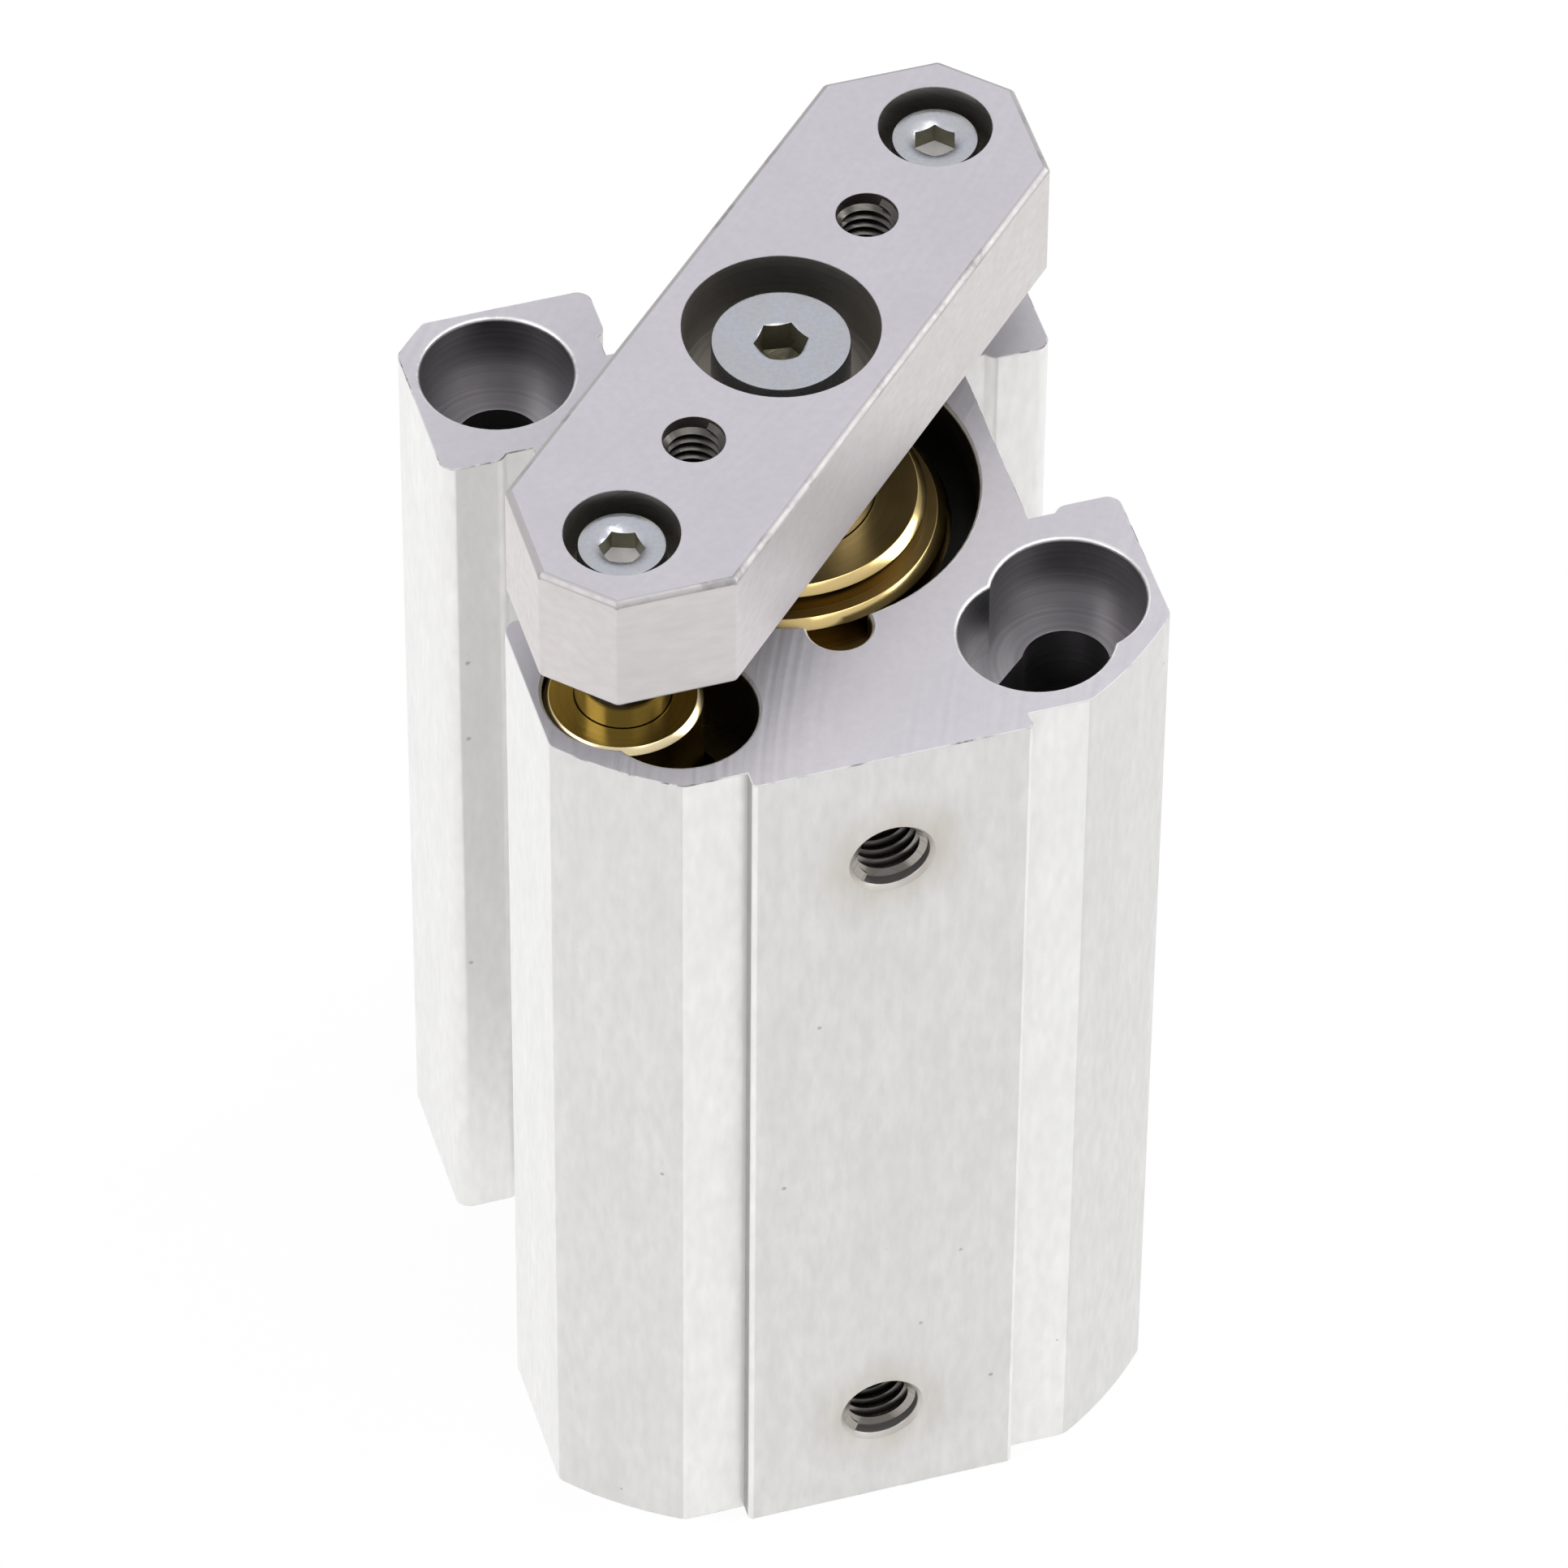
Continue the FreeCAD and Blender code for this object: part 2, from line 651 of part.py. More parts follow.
def build_plate():
    """The tool plate: a bar along the body's diagonal, cut off flush with the body's sides."""
    body = new_body("tool_plate")
    across = size("plate_width") / 2 / ROOT_TWO
    along = corner + size("plate_end") / ROOT_TWO
    outline = new_sketch(body, "outline", height=plate_bottom)
    draw_polygon(outline, [(along - across, along + across), (-along - across, across - along),
                           (across - along, -along - across), (along + across, along - across)])
    add_pad(body, outline, size("plate_thickness"))

    sides = new_sketch(body, "sides", height=plate_top)
    for reach in (half_width + size("plate_overhang"), along + across + size("plate_overhang")):
        draw_polygon(sides, [(reach, reach), (-reach, reach), (-reach, -reach), (reach, -reach)])
    trimmed = add_cut(body, sides)
    upper = chamfer_rims(body, trimmed, plate_top, size("plate_edge"))
    chamfer_rims(body, upper, plate_bottom, size("plate_edge"))

    tap = size("tap_pitch") / 2 / ROOT_TWO
    corners = [(place, place) for place in GUIDE_SIDES.values()]
    play = size("screw_hole_play")
    holes = (("rod_screw_hole", [(ZERO, ZERO)], size("rod_screw_thread") + play,
              ("Counterbore", size("rod_screw_bore"), plate_top - rod_head_seat)),
             ("guide_screw_holes", corners, size("guide_screw_thread") + play,
              ("Counterbore", size("guide_screw_bore"), plate_top - guide_head_seat)),
             ("tapped_holes", [(-tap, -tap), (tap, tap)], size("tap_thread"),
              ("Countersink", size("tap_thread") + size("tap_edge") * 2)))
    for name, centres, diameter, head in holes:
        sketch = new_sketch(body, name, height=plate_top)
        for centre in centres:
            draw_circle(sketch, centre, diameter / 2)
        add_hole(body, sketch, diameter, head=head)


def build_screw(label, kind, seat, place=None):
    """A socket screw under the plate's face: kind names its sizes, seat is the height under its head."""
    thread = size(f"{kind}_thread") / 2 - size("fit_gap")
    head = size(f"{kind}_head") / 2
    top = seat + size(f"{kind}_head_height")
    tip = seat - size(f"{kind}_length")
    edge = size("screw_head_edge")
    point = size("small_chamfer")
    body = turned(label, [(ZERO, tip), (thread - point, tip), (thread, tip + point), (thread, seat),
                          (head, seat), (head, top - edge), (head - edge, top), (ZERO, top)], place, place)
    socket = new_sketch(body, "socket", height=top)
    draw_hexagon(socket, size(f"{kind}_socket"))
    add_cut(body, socket, size(f"{kind}_socket_depth"))


def write_parts():
    """Check every object, then write one file for each body."""
    document.recompute()
    failed = [item.Name for item in document.Objects if {"Invalid", "Error"} & set(item.State)]
    bodies = [item for item in document.Objects if item.TypeId == "PartDesign::Body"]
    for body in bodies:
        if body.Shape.isNull() or not body.Shape.isValid() or len(body.Shape.Solids) != 1:
            failed.append(body.Label)
    if failed:
        raise RuntimeError(f"not built: {failed}")
    os.makedirs("parts", exist_ok=True)
    for body in bodies:
        body.Shape.exportStep(f"parts/{body.Label}.step")
        print(body.Label, f"{body.Shape.Volume:.1f} mm3")


build_tube()
build_head_end()
build_collar()
build_piston()
build_guides()
build_plate()
build_screw("rod_screw", "rod_screw", rod_head_seat)
for guide_side, guide_place in GUIDE_SIDES.items():
    build_screw(f"{guide_side}_guide_screw", "guide_screw", guide_head_seat, guide_place)
write_parts()
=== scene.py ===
"""Guided short-stroke cylinder: edges, threads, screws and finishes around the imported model.

Lengths are written in millimetres and turned into metres where a mesh or a texture takes them.
"""

import json
import logging
import math
from collections.abc import Callable, Iterable, Mapping, Sequence
from dataclasses import dataclass, field
from enum import Enum, IntEnum

import bmesh
import bpy
from bmesh.types import BMEdge as Edge, BMFace as Face, BMVert as Vert
from bpy.types import ID, Material, Node, NodeSocket as Socket, NodeTree, Object as Piece
from mathutils import Matrix, Vector


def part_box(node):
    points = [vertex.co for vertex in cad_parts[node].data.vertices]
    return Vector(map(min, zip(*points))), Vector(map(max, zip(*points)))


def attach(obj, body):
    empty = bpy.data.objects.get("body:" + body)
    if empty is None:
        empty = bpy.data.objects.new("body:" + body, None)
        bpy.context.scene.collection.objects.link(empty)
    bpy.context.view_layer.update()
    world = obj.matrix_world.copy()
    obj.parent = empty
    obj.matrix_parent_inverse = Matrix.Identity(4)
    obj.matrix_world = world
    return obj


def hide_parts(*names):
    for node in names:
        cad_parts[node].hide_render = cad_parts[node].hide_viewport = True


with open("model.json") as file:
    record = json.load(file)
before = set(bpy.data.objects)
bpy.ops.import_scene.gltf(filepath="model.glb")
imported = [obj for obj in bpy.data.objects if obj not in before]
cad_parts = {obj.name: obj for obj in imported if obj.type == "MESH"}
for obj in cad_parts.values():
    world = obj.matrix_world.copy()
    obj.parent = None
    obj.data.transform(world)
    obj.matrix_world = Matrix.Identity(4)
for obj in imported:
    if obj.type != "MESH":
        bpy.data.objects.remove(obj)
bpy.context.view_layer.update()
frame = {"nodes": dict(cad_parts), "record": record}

LOG = logging.getLogger("cylinder")
MM = 0.001
HALF = 0.5
FULL_TURN = 2.0 * math.pi
UP = Vector((0.0, 0.0, 1.0))
FRONT = Vector((0.0, -1.0, 0.0))
WHITE = (1.0, 1.0, 1.0, 1.0)
MOUNTS = {mount["name"]: mount for mount in frame["record"]["mounts"]}
CORNER = MOUNTS["body_bolts"]["dims"]["pcd_mm"] / 2.0 / math.sqrt(2.0)
TAP_PLACE = MOUNTS["plate_taps"]["dims"]["pcd_mm"] / 2.0 / math.sqrt(2.0)
PORT_HEIGHTS = tuple(MOUNTS[name]["pos_m"][2] / MM for name in ("head_port", "rod_port"))

Pair = tuple[float, float]
Triple = tuple[float, float, float]
Colour = Triple
Value = float | tuple[float, ...] | Socket


class Carrier(Enum):
    """The two bodies that pieces ride on."""

    BARREL = "barrel"
    SLIDE = "slide"


class Skin(IntEnum):
    """How a face was made, or the painted shade it carries; the number is its material slot."""

    DRAWN = 0
    MILLED = 1
    # TURNED faces carry painted shade on the body and the plate: their bored walls are darker than bare
    # aluminium.
    TURNED = 2
    EDGE = 3
    # MATT_OR_SHADED marks the matt panel and arcs on the body, and painted shade on the plate's underside.
    MATT_OR_SHADED = 4
    # STEP faces carry painted shade, for the dark corner beside the front panel.
    STEP = 5
    # TAPPED faces carry painted shade, for the shade inside the ports.
    TAPPED = 6
    # This skin carries painted shade, near black, for the shade deep in the bores and pockets.
    BORED_DEEP_SHADE = 7
    NICKED = 8


class BronzeSkin(IntEnum):
    """How a face of turned bronze is coloured: cones keep the bronze, walls and ends take painted shade; the
    number is its material slot.
    """

    BRIGHT = 0
    SHADED_WALL = 1
    SHADED_END = 2


class ScrewSkin(IntEnum):
    """The finishes of a screw: plating, painted shade in the socket, and a socket floor in painted shade or a
    painted highlight; the number is the material slot.
    """

    PLATED = 0
    SOCKET = 1
    FLOOR = 2


class Effect(Enum):
    """Surface effects that several finishes share, each one a node group."""

    GRAIN = "satin_grain"
    STREAKS = "drawn_streaks"
    LINES = "tool_lines"
    PITS = "small_pits"


class Wiring:
    """Adds nodes to one tree and joins their sockets."""

    MIX_INPUTS = (0, 6, 7)
    MIX_RESULT = 2

    def __init__(self, tree: NodeTree) -> None:
        """Start on an emptied tree."""
        tree.nodes.clear()
        self.tree = tree

    def node(self, kind: str, inputs: Mapping[str | int, Value] | None = None, **settings: object) -> Node:
        """Add a node.

        Args:
            kind: The node's type.
            inputs: A value or a socket for each input, by name or number.
            settings: The node's own properties.

        Returns:
            The node.
        """
        made = self.tree.nodes.new(kind)
        for name, value in settings.items():
            setattr(made, name, value)
        for key, value in (inputs or {}).items():
            if isinstance(value, Socket):
                self.tree.links.new(value, made.inputs[key])
            else:
                made.inputs[key].default_value = value
        return made

    def math(self, operation: str, *values: Value) -> Socket:
        """Work out a number from the values in their order."""
        return self.node("ShaderNodeMath", dict(enumerate(values)), operation=operation).outputs[0]

    def vector(self, operation: str, *values: Value) -> Node:
        """Work out a vector, or a measure of one, from the values in their order."""
        return self.node("ShaderNodeVectorMath", dict(enumerate(values)), operation=operation)

    def flat(self, x: Socket, y: Socket) -> Socket:
        """The distance of a point in a plane from its origin."""
        point = self.node("ShaderNodeCombineXYZ", {"X": x, "Y": y, "Z": 0.0}).outputs[0]
        return self.vector("LENGTH", point).outputs["Value"]

    def band(self, value: Value, low: float, high: float, start: float = 0.0, end: float = 1.0) -> Socket:
        """Map the range from low to high onto the one from start to end, held at its ends."""
        inputs = {"Value": value, "From Min": low, "From Max": high, "To Min": start, "To Max": end}
        return self.node("ShaderNodeMapRange", inputs).outputs["Result"]

    def blend(self, share: Value, first: Value, second: Value) -> Socket:
        """Mix two colours, where the share is how much of the second one shows."""
        inputs = dict(zip(self.MIX_INPUTS, (share, first, second)))
        return self.node("ShaderNodeMix", inputs, data_type="RGBA").outputs[self.MIX_RESULT]

    def noise(self, place: Socket, scale: Value, detail: float) -> Socket:
        """Add a noise of about 0.5 on average, with its scale per metre and its number of finer layers."""
        inputs = {"Vector": place, "Scale": scale, "Detail": detail}
        return self.node("ShaderNodeTexNoise", inputs).outputs[0]


class EffectLibrary:
    """Builds each shared effect once, as a node group."""

    CLEAR = (0.3, 0.7)
    SOFT = (0.32, 0.68)
    SPECKLE_DETAIL = 3.0
    PATCH_DETAIL = 4.0
    LINE_DETAIL = 4.0
    WANDER_SCALE = 60.0
    WANDER_DETAIL = 1.0
    WANDER = 0.00015
    SMALLEST_PIT = 0.5
    PIT_RIM = 0.6

    def __init__(self) -> None:
        """Start with no effect built."""
        self.trees: dict[Effect, NodeTree] = {}
        self.builders: dict[Effect, Callable[[], Wiring]] = {
            Effect.GRAIN: self.build_grain,
            Effect.STREAKS: self.build_streaks,
            Effect.LINES: self.build_lines,
            Effect.PITS: self.build_pits,
        }

    def tree(self, effect: Effect) -> NodeTree:
        """Give an effect's group, which is built when it is first asked for.

        Args:
            effect: Which effect.

        Returns:
            Its node group.
        """
        if effect not in self.trees:
            self.trees[effect] = self.builders[effect]().tree
        return self.trees[effect]

    @staticmethod
    def start(effect: Effect, numbers: Iterable[str],
              outputs: Iterable[str]) -> tuple[Wiring, Mapping[str, Socket]]:
        """Begin a group that reads a place and some numbers.

        Args:
            effect: The effect that it holds.
            numbers: The names of its number inputs.
            outputs: The names of its outputs.

        Returns:
            The group's wiring and its input sockets.
        """
        tree = bpy.data.node_groups.new(effect.value, "ShaderNodeTree")
        tree.interface.new_socket("Place", in_out="INPUT", socket_type="NodeSocketVector")
        for names, side in ((numbers, "INPUT"), (outputs, "OUTPUT")):
            for name in names:
                tree.interface.new_socket(name, in_out=side, socket_type="NodeSocketFloat")
        wiring = Wiring(tree)
        return wiring, wiring.node("NodeGroupInput").outputs

    def build_grain(self) -> Wiring:
        """Etched satin: a fine speckle and broad uneven patches.

        Returns:
            The group's wiring.
        """
        wiring, given = self.start(Effect.GRAIN, ("Fine", "Broad"), ("Speckle", "Patch"))
        fine = wiring.noise(given["Place"], given["Fine"], self.SPECKLE_DETAIL)
        broad = wiring.noise(given["Place"], given["Broad"], self.PATCH_DETAIL)
        outputs = {"Speckle": wiring.band(fine, *self.CLEAR), "Patch": wiring.band(broad, *self.SOFT)}
        wiring.node("NodeGroupOutput", outputs)
        return wiring

    def build_streaks(self) -> Wiring:
        """Lines that the die left along an extrusion.

        Returns:
            The group's wiring.
        """
        wiring, given = self.start(Effect.STREAKS, ("Scale", "Length"), ("Streak",))
        squeeze = wiring.node("ShaderNodeCombineXYZ", {"X": 1.0, "Y": 1.0, "Z": given["Length"]}).outputs[0]
        drawn = wiring.vector("MULTIPLY", given["Place"], squeeze).outputs[0]
        noise = wiring.noise(drawn, given["Scale"], self.SPECKLE_DETAIL)
        wiring.node("NodeGroupOutput", {"Streak": wiring.band(noise, *self.CLEAR)})
        return wiring

    def build_lines(self) -> Wiring:
        """Fine cutter lines across a distance.

        Returns:
            The group's wiring.
        """
        wiring, given = self.start(Effect.LINES, ("Distance", "Scale"), ("Line",))
        wander = wiring.noise(given["Place"], self.WANDER_SCALE, self.WANDER_DETAIL)
        reach = wiring.math("MULTIPLY_ADD", wander, self.WANDER, given["Distance"])
        inputs = {"W": reach, "Scale": given["Scale"], "Detail": self.LINE_DETAIL}
        noise = wiring.node("ShaderNodeTexNoise", inputs, noise_dimensions="1D").outputs[0]
        wiring.node("NodeGroupOutput", {"Line": wiring.band(noise, *self.CLEAR)})
        return wiring

    def build_pits(self) -> Wiring:
        """A few small dark pits.

        Returns:
            The group's wiring.
        """
        wiring, given = self.start(Effect.PITS, ("Scale", "Share", "Radius"), ("Pit",))
        cells = wiring.node("ShaderNodeTexVoronoi", {"Vector": given["Place"], "Scale": given["Scale"]})
        chance = wiring.node("ShaderNodeSeparateColor", {"Color": cells.outputs["Color"]})
        chosen = wiring.math("LESS_THAN", chance.outputs["Red"], given["Share"])
        size = wiring.math("ADD", chance.outputs["Green"], self.SMALLEST_PIT)
        reach = wiring.math("MULTIPLY", given["Radius"], size)
        nearness = wiring.math("SUBTRACT", 1.0, wiring.math("DIVIDE", cells.outputs["Distance"], reach))
        pit = wiring.math("MULTIPLY", chosen, wiring.band(nearness, 0.0, self.PIT_RIM))
        wiring.node("NodeGroupOutput", {"Pit": pit})
        return wiring


EFFECTS = EffectLibrary()


class Surface(Wiring):
    """A material's tree with its surface shader and object coordinates."""

    def __init__(self, material: Material, inputs: Mapping[str, Value]) -> None:
        """Start the tree.

        Args:
            material: The new material.
            inputs: The plain values of its shader.
        """
        material.use_nodes = True
        super().__init__(material.node_tree)
        self.shader = self.node("ShaderNodeBsdfPrincipled", inputs)
        self.node("ShaderNodeOutputMaterial", {"Surface": self.shader.outputs[0]})
        self.place = self.node("ShaderNodeTexCoord").outputs["Object"]

    def effect(self, effect: Effect, **inputs: Value) -> Mapping[str, Socket]:
        """Put an effect in, at object coordinates unless a Place is given, and give its outputs."""
        inputs = {"Place": self.place} | inputs
        return self.node("ShaderNodeGroup", inputs, node_tree=EFFECTS.tree(effect)).outputs

    def parts(self, place: Socket) -> Mapping[str, Socket]:
        """The X, Y and Z of a place."""
        return self.node("ShaderNodeSeparateXYZ", {"Vector": place}).outputs


@dataclass(frozen=True)
class Finish:
    """A finish's colour and shine; each kind adds its own texture.

    The spread is how much finer and rougher it gets. The fine and broad scales are its grain's, per metre.
    The depth and strength are those of its relief. A wash is a share of a mask and the level of a tone.
    """

    name: str
    colour: Colour
    metallic: float = 1.0
    roughness: float = 0.3
    spread: Pair = (0.05, 0.1)
    fine: float = 1900.0
    broad: float = 300.0
    depth: float = 0.012
    strength: float = 0.5

    def material(self) -> Material:
        """Build the material, or give the one built before.

        Returns:
            The material.
        """
        made = bpy.data.materials.get(self.name)
        if made is None:
            made = bpy.data.materials.new(self.name)
            inputs = {"Base Color": self.tone(1.0), "Metallic": self.metallic, "Roughness": self.roughness}
            self.texture(Surface(made, inputs))
        return made

    def tone(self, level: float) -> tuple[float, ...]:
        """The colour at another level of brightness, with its alpha."""
        return (*(min(level * part, 1.0) for part in self.colour), 1.0)

    def texture(self, surface: Surface) -> None:
        """Add what the surface shows close up."""
        raise NotImplementedError

    def grain(self, surface: Surface, **inputs: Value) -> Mapping[str, Socket]:
        """Put in the grain at this finish's scales."""
        return surface.effect(Effect.GRAIN, Fine=self.fine, Broad=self.broad, **inputs)

    def wash(self, surface: Surface, colour: Value, mask: Socket, share: float, level: float) -> Socket:
        """Lay another tone over a colour, by a share of a mask."""
        return surface.blend(surface.math("MULTIPLY", mask, share), colour, self.tone(level))

    def feed(self, surface: Surface, colour: Socket, gloss: Socket, height: Socket | None = None) -> None:
        """Join a texture to the shader.

        Args:
            surface: The material's tree.
            colour: The texture's colour.
            gloss: A mask that is 0 where the finish is finer and 1 where it is rougher.
            height: Its relief, or None for a smooth one.
        """
        finer, rougher = self.spread
        rough = surface.band(gloss, 0.0, 1.0, self.roughness - finer, self.roughness + rougher)
        inputs = {"Base Color": colour, "Roughness": rough}
        if height is not None:
            relief = {"Height": height, "Distance": self.depth * MM, "Strength": self.strength}
            inputs["Normal"] = surface.node("ShaderNodeBump", relief).outputs[0]
        for name, value in inputs.items():
            surface.tree.links.new(value, surface.shader.inputs[name])


@dataclass(frozen=True)
class DrawnAluminium(Finish):
    """Satin anodised extrusion: lengthwise streaks, fine speckle, a few pits and stains round its ports."""

    spread: Pair = (0.04, 0.08)
    broad: float = 480.0
    strength: float = 0.25
    turn: Triple = (0.0, 0.0, 0.0)
    stretch: Triple = (1.0, 1.0, 0.3)
    fine_streak: Pair = (1500.0, 0.012)
    broad_streak: Pair = (260.0, 0.05)
    streak_levels: Pair = (0.95, 1.02)
    patch_wash: Pair = (0.6, 0.89)
    speckle_wash: Pair = (0.5, 0.85)
    pit_wash: Pair = (0.7, 0.35)
    pit_scale: float = 420.0
    pit_radius: float = 0.07
    pit_share: float = 0.18
    ports: tuple[float, ...] = ()
    port_face: float = -24.2
    stain_colour: tuple[float, ...] = (0.56, 0.51, 0.44, 1.0)
    stain_reach: Pair = (2.6, 7.0)
    stain_fall: float = 1.6
    stain_share: Pair = (0.4, 0.8)

    def texture(self, surface: Surface) -> None:
        """Add streaks, speckle, pits and the stain round the ports.

        Args:
            surface: The material's tree.
        """
        along = surface.node("ShaderNodeMapping", {"Vector": surface.place, "Rotation": self.turn}).outputs[0]
        drawn = surface.node("ShaderNodeMapping", {"Vector": along, "Scale": self.stretch}).outputs[0]
        fine, broad = (surface.effect(Effect.STREAKS, Place=along, Scale=scale, Length=length)["Streak"]
                       for scale, length in (self.fine_streak, self.broad_streak))
        grain = self.grain(surface, Place=drawn)
        pits = {"Scale": self.pit_scale, "Share": self.pit_share, "Radius": self.pit_radius}
        pit = surface.effect(Effect.PITS, **pits)["Pit"]
        streak = surface.math("MULTIPLY_ADD", broad, HALF, surface.math("MULTIPLY", fine, HALF))
        colour = surface.blend(streak, *(self.tone(level) for level in self.streak_levels))
        colour = self.wash(surface, colour, grain["Patch"], *self.patch_wash)
        colour = self.wash(surface, colour, grain["Speckle"], *self.speckle_wash)
        if self.ports:
            colour = surface.blend(self.stain(surface, grain["Patch"]), colour, self.stain_colour)
        colour = self.wash(surface, colour, pit, *self.pit_wash)
        height = surface.math("SUBTRACT", surface.math("MULTIPLY_ADD", fine, HALF, grain["Speckle"]), pit)
        self.feed(surface, colour, grain["Speckle"], height)

    def stain(self, surface: Surface, patch: Socket) -> Socket:
        """The faint ring of stain round each port.

        Args:
            surface: The material's tree.
            patch: Uneven patches that break it up.

        Returns:
            How strong the stain is.
        """
        middle = sum(self.ports) / len(self.ports)
        half = (max(self.ports) - min(self.ports)) / 2.0
        near, far = self.stain_reach
        parts = surface.parts(surface.place)
        height = surface.math("ABSOLUTE", surface.math("SUBTRACT", parts["Z"], middle * MM))
        away = surface.flat(parts["X"], surface.math("SUBTRACT", height, half * MM))
        ring = surface.math("POWER", surface.band(away, near * MM, far * MM, 1.0, 0.0), self.stain_fall)
        front = surface.math("LESS_THAN", parts["Y"], self.port_face * MM)
        strength = surface.math("MULTIPLY", ring, surface.band(patch, 0.0, 1.0, *self.stain_share))
        return surface.math("MULTIPLY", strength, front)


@dataclass(frozen=True)
class MilledAluminium(Finish):
    """A face cut by a wide cutter: faint arcs and speckle."""

    spread: Pair = (0.03, 0.05)
    broad: float = 190.0
    depth: float = 0.01
    strength: float = 0.2
    cutter: Pair = (95.0, -60.0)
    line_scale: float = 2600.0
    line_levels: Pair = (0.98, 1.02)
    line_height: float = 0.2
    patch_wash: Pair = (0.6, 0.93)
    speckle_wash: Pair = (0.4, 0.86)

    def texture(self, surface: Surface) -> None:
        """Add the cutter's arcs and a fine speckle.

        Args:
            surface: The material's tree.
        """
        flat = surface.vector("MULTIPLY", surface.place, (1.0, 1.0, 0.0)).outputs[0]
        centre = (self.cutter[0] * MM, self.cutter[1] * MM, 0.0)
        away = surface.vector("DISTANCE", flat, centre).outputs["Value"]
        line = surface.effect(Effect.LINES, Distance=away, Scale=self.line_scale)["Line"]
        grain = self.grain(surface)
        colour = surface.blend(line, *(self.tone(level) for level in self.line_levels))
        colour = self.wash(surface, colour, grain["Patch"], *self.patch_wash)
        colour = self.wash(surface, colour, grain["Speckle"], *self.speckle_wash)
        height = surface.math("MULTIPLY_ADD", line, self.line_height, grain["Speckle"])
        self.feed(surface, colour, line, height)


@dataclass(frozen=True)
class TurnedMetal(Finish):
    """Bored or turned metal: fine rings about its axis, and painted shade that darkens a port between two
    depths.
    """

    spread: Pair = (0.03, 0.06)
    fine: float = 2400.0
    broad: float = 260.0
    depth: float = 0.006
    axis: float = 0.0
    line_scale: float = 3800.0
    contrast: float = 0.12
    # Painted shade: two distances from the middle plane, in millimetres, across which a port's thread darkens
    # inward, for the shade deep in the hole.
    shade_depths: Pair | None = None
    shade_level: float = 0.6

    def texture(self, surface: Surface) -> None:
        """Add the tool's rings, on walls by height and on faces by radius, and the painted shade deep in a
        port.

        Args:
            surface: The material's tree.
        """
        folded = surface.vector("ABSOLUTE", surface.place).outputs[0]
        corner = (self.axis * MM, self.axis * MM, 0.0)
        parts = surface.parts(surface.vector("SUBTRACT", folded, corner).outputs[0])
        reach = surface.math("ADD", surface.flat(parts["X"], parts["Y"]), parts["Z"])
        line = surface.effect(Effect.LINES, Distance=reach, Scale=self.line_scale)["Line"]
        patch = self.grain(surface)["Patch"]
        dark = 1.0 - self.contrast
        colour = surface.blend(line, self.tone(dark), self.tone(1.0 + self.contrast))
        colour = self.wash(surface, colour, patch, HALF, dark)
        # Painted shade: darker deeper in the port.
        if self.shade_depths is not None:
            deep_shade = surface.band(parts["Y"], self.shade_depths[0] * MM, self.shade_depths[1] * MM)
            colour = surface.blend(deep_shade, colour, self.tone(self.shade_level))
        self.feed(surface, colour, patch, line)


@dataclass(frozen=True)
class TurnedBronze(TurnedMetal):
    """Bronze turned with a fine feed."""

    depth: float = 0.003
    contrast: float = 0.06


@dataclass(frozen=True)
class GroundSteel(TurnedMetal):
    """A rod ground to a mirror."""

    depth: float = 0.002
    line_scale: float = 9000.0
    contrast: float = 0.03


@dataclass(frozen=True)
class BrokenEdge(Finish):
    """An edge that a file has broken: bright, with dull nicks."""

    broad: float = 330.0
    nick_share: float = 0.35
    nick_level: float = 0.3
    nick_patch: Pair = (0.55, 0.85)
    nick_speckle: Pair = (0.1, 0.6)

    def texture(self, surface: Surface) -> None:
        """Add dull nicks along the edge.

        Args:
            surface: The material's tree.
        """
        grain = self.grain(surface)
        patch = surface.band(grain["Patch"], *self.nick_patch)
        nick = surface.math("MULTIPLY", patch, surface.band(grain["Speckle"], *self.nick_speckle))
        colour = self.wash(surface, self.tone(1.0), nick, self.nick_share, self.nick_level)
        self.feed(surface, colour, grain["Speckle"])


@dataclass(frozen=True)
class PlatedSteel(Finish):
    """Bright zinc plate: a cool mottle over fine speckle."""

    fine: float = 3600.0
    broad: float = 620.0
    warm: Colour = (0.62, 0.62, 0.58)
    speckle_wash: Pair = (0.4, 0.78)

    def texture(self, surface: Surface) -> None:
        """Add the plating's mottle.

        Args:
            surface: The material's tree.
        """
        grain = self.grain(surface)
        share = surface.math("MULTIPLY", grain["Patch"], HALF)
        colour = surface.blend(share, self.tone(1.0), (*self.warm, 1.0))
        colour = self.wash(surface, colour, grain["Speckle"], *self.speckle_wash)
        self.feed(surface, colour, grain["Patch"], grain["Speckle"])


@dataclass(frozen=True)
class Moulded(Finish):
    """Rubber, urethane, ferrite or resin, or the painted shade or painted highlight of a screw socket, with a
    dull uneven skin.
    """

    metallic: float = 0.0
    roughness: float = 0.6
    spread: Pair = (0.08, 0.1)
    fine: float = 3000.0
    depth: float = 0.02
    levels: Pair = (0.8, 1.15)

    def texture(self, surface: Surface) -> None:
        """Add a dull uneven skin.

        Args:
            surface: The material's tree.
        """
        grain = self.grain(surface)
        colour = surface.blend(grain["Patch"], *(self.tone(level) for level in self.levels))
        self.feed(surface, colour, grain["Speckle"], grain["Speckle"])


def pick(items: Iterable[object], kind: type) -> list:
    """The items of one kind."""
    return [item for item in items if isinstance(item, kind)]


def hex_corner(width: float) -> float:
    """The radius of a hexagon's corners, from its width across the flats."""
    return width / math.sqrt(3.0)


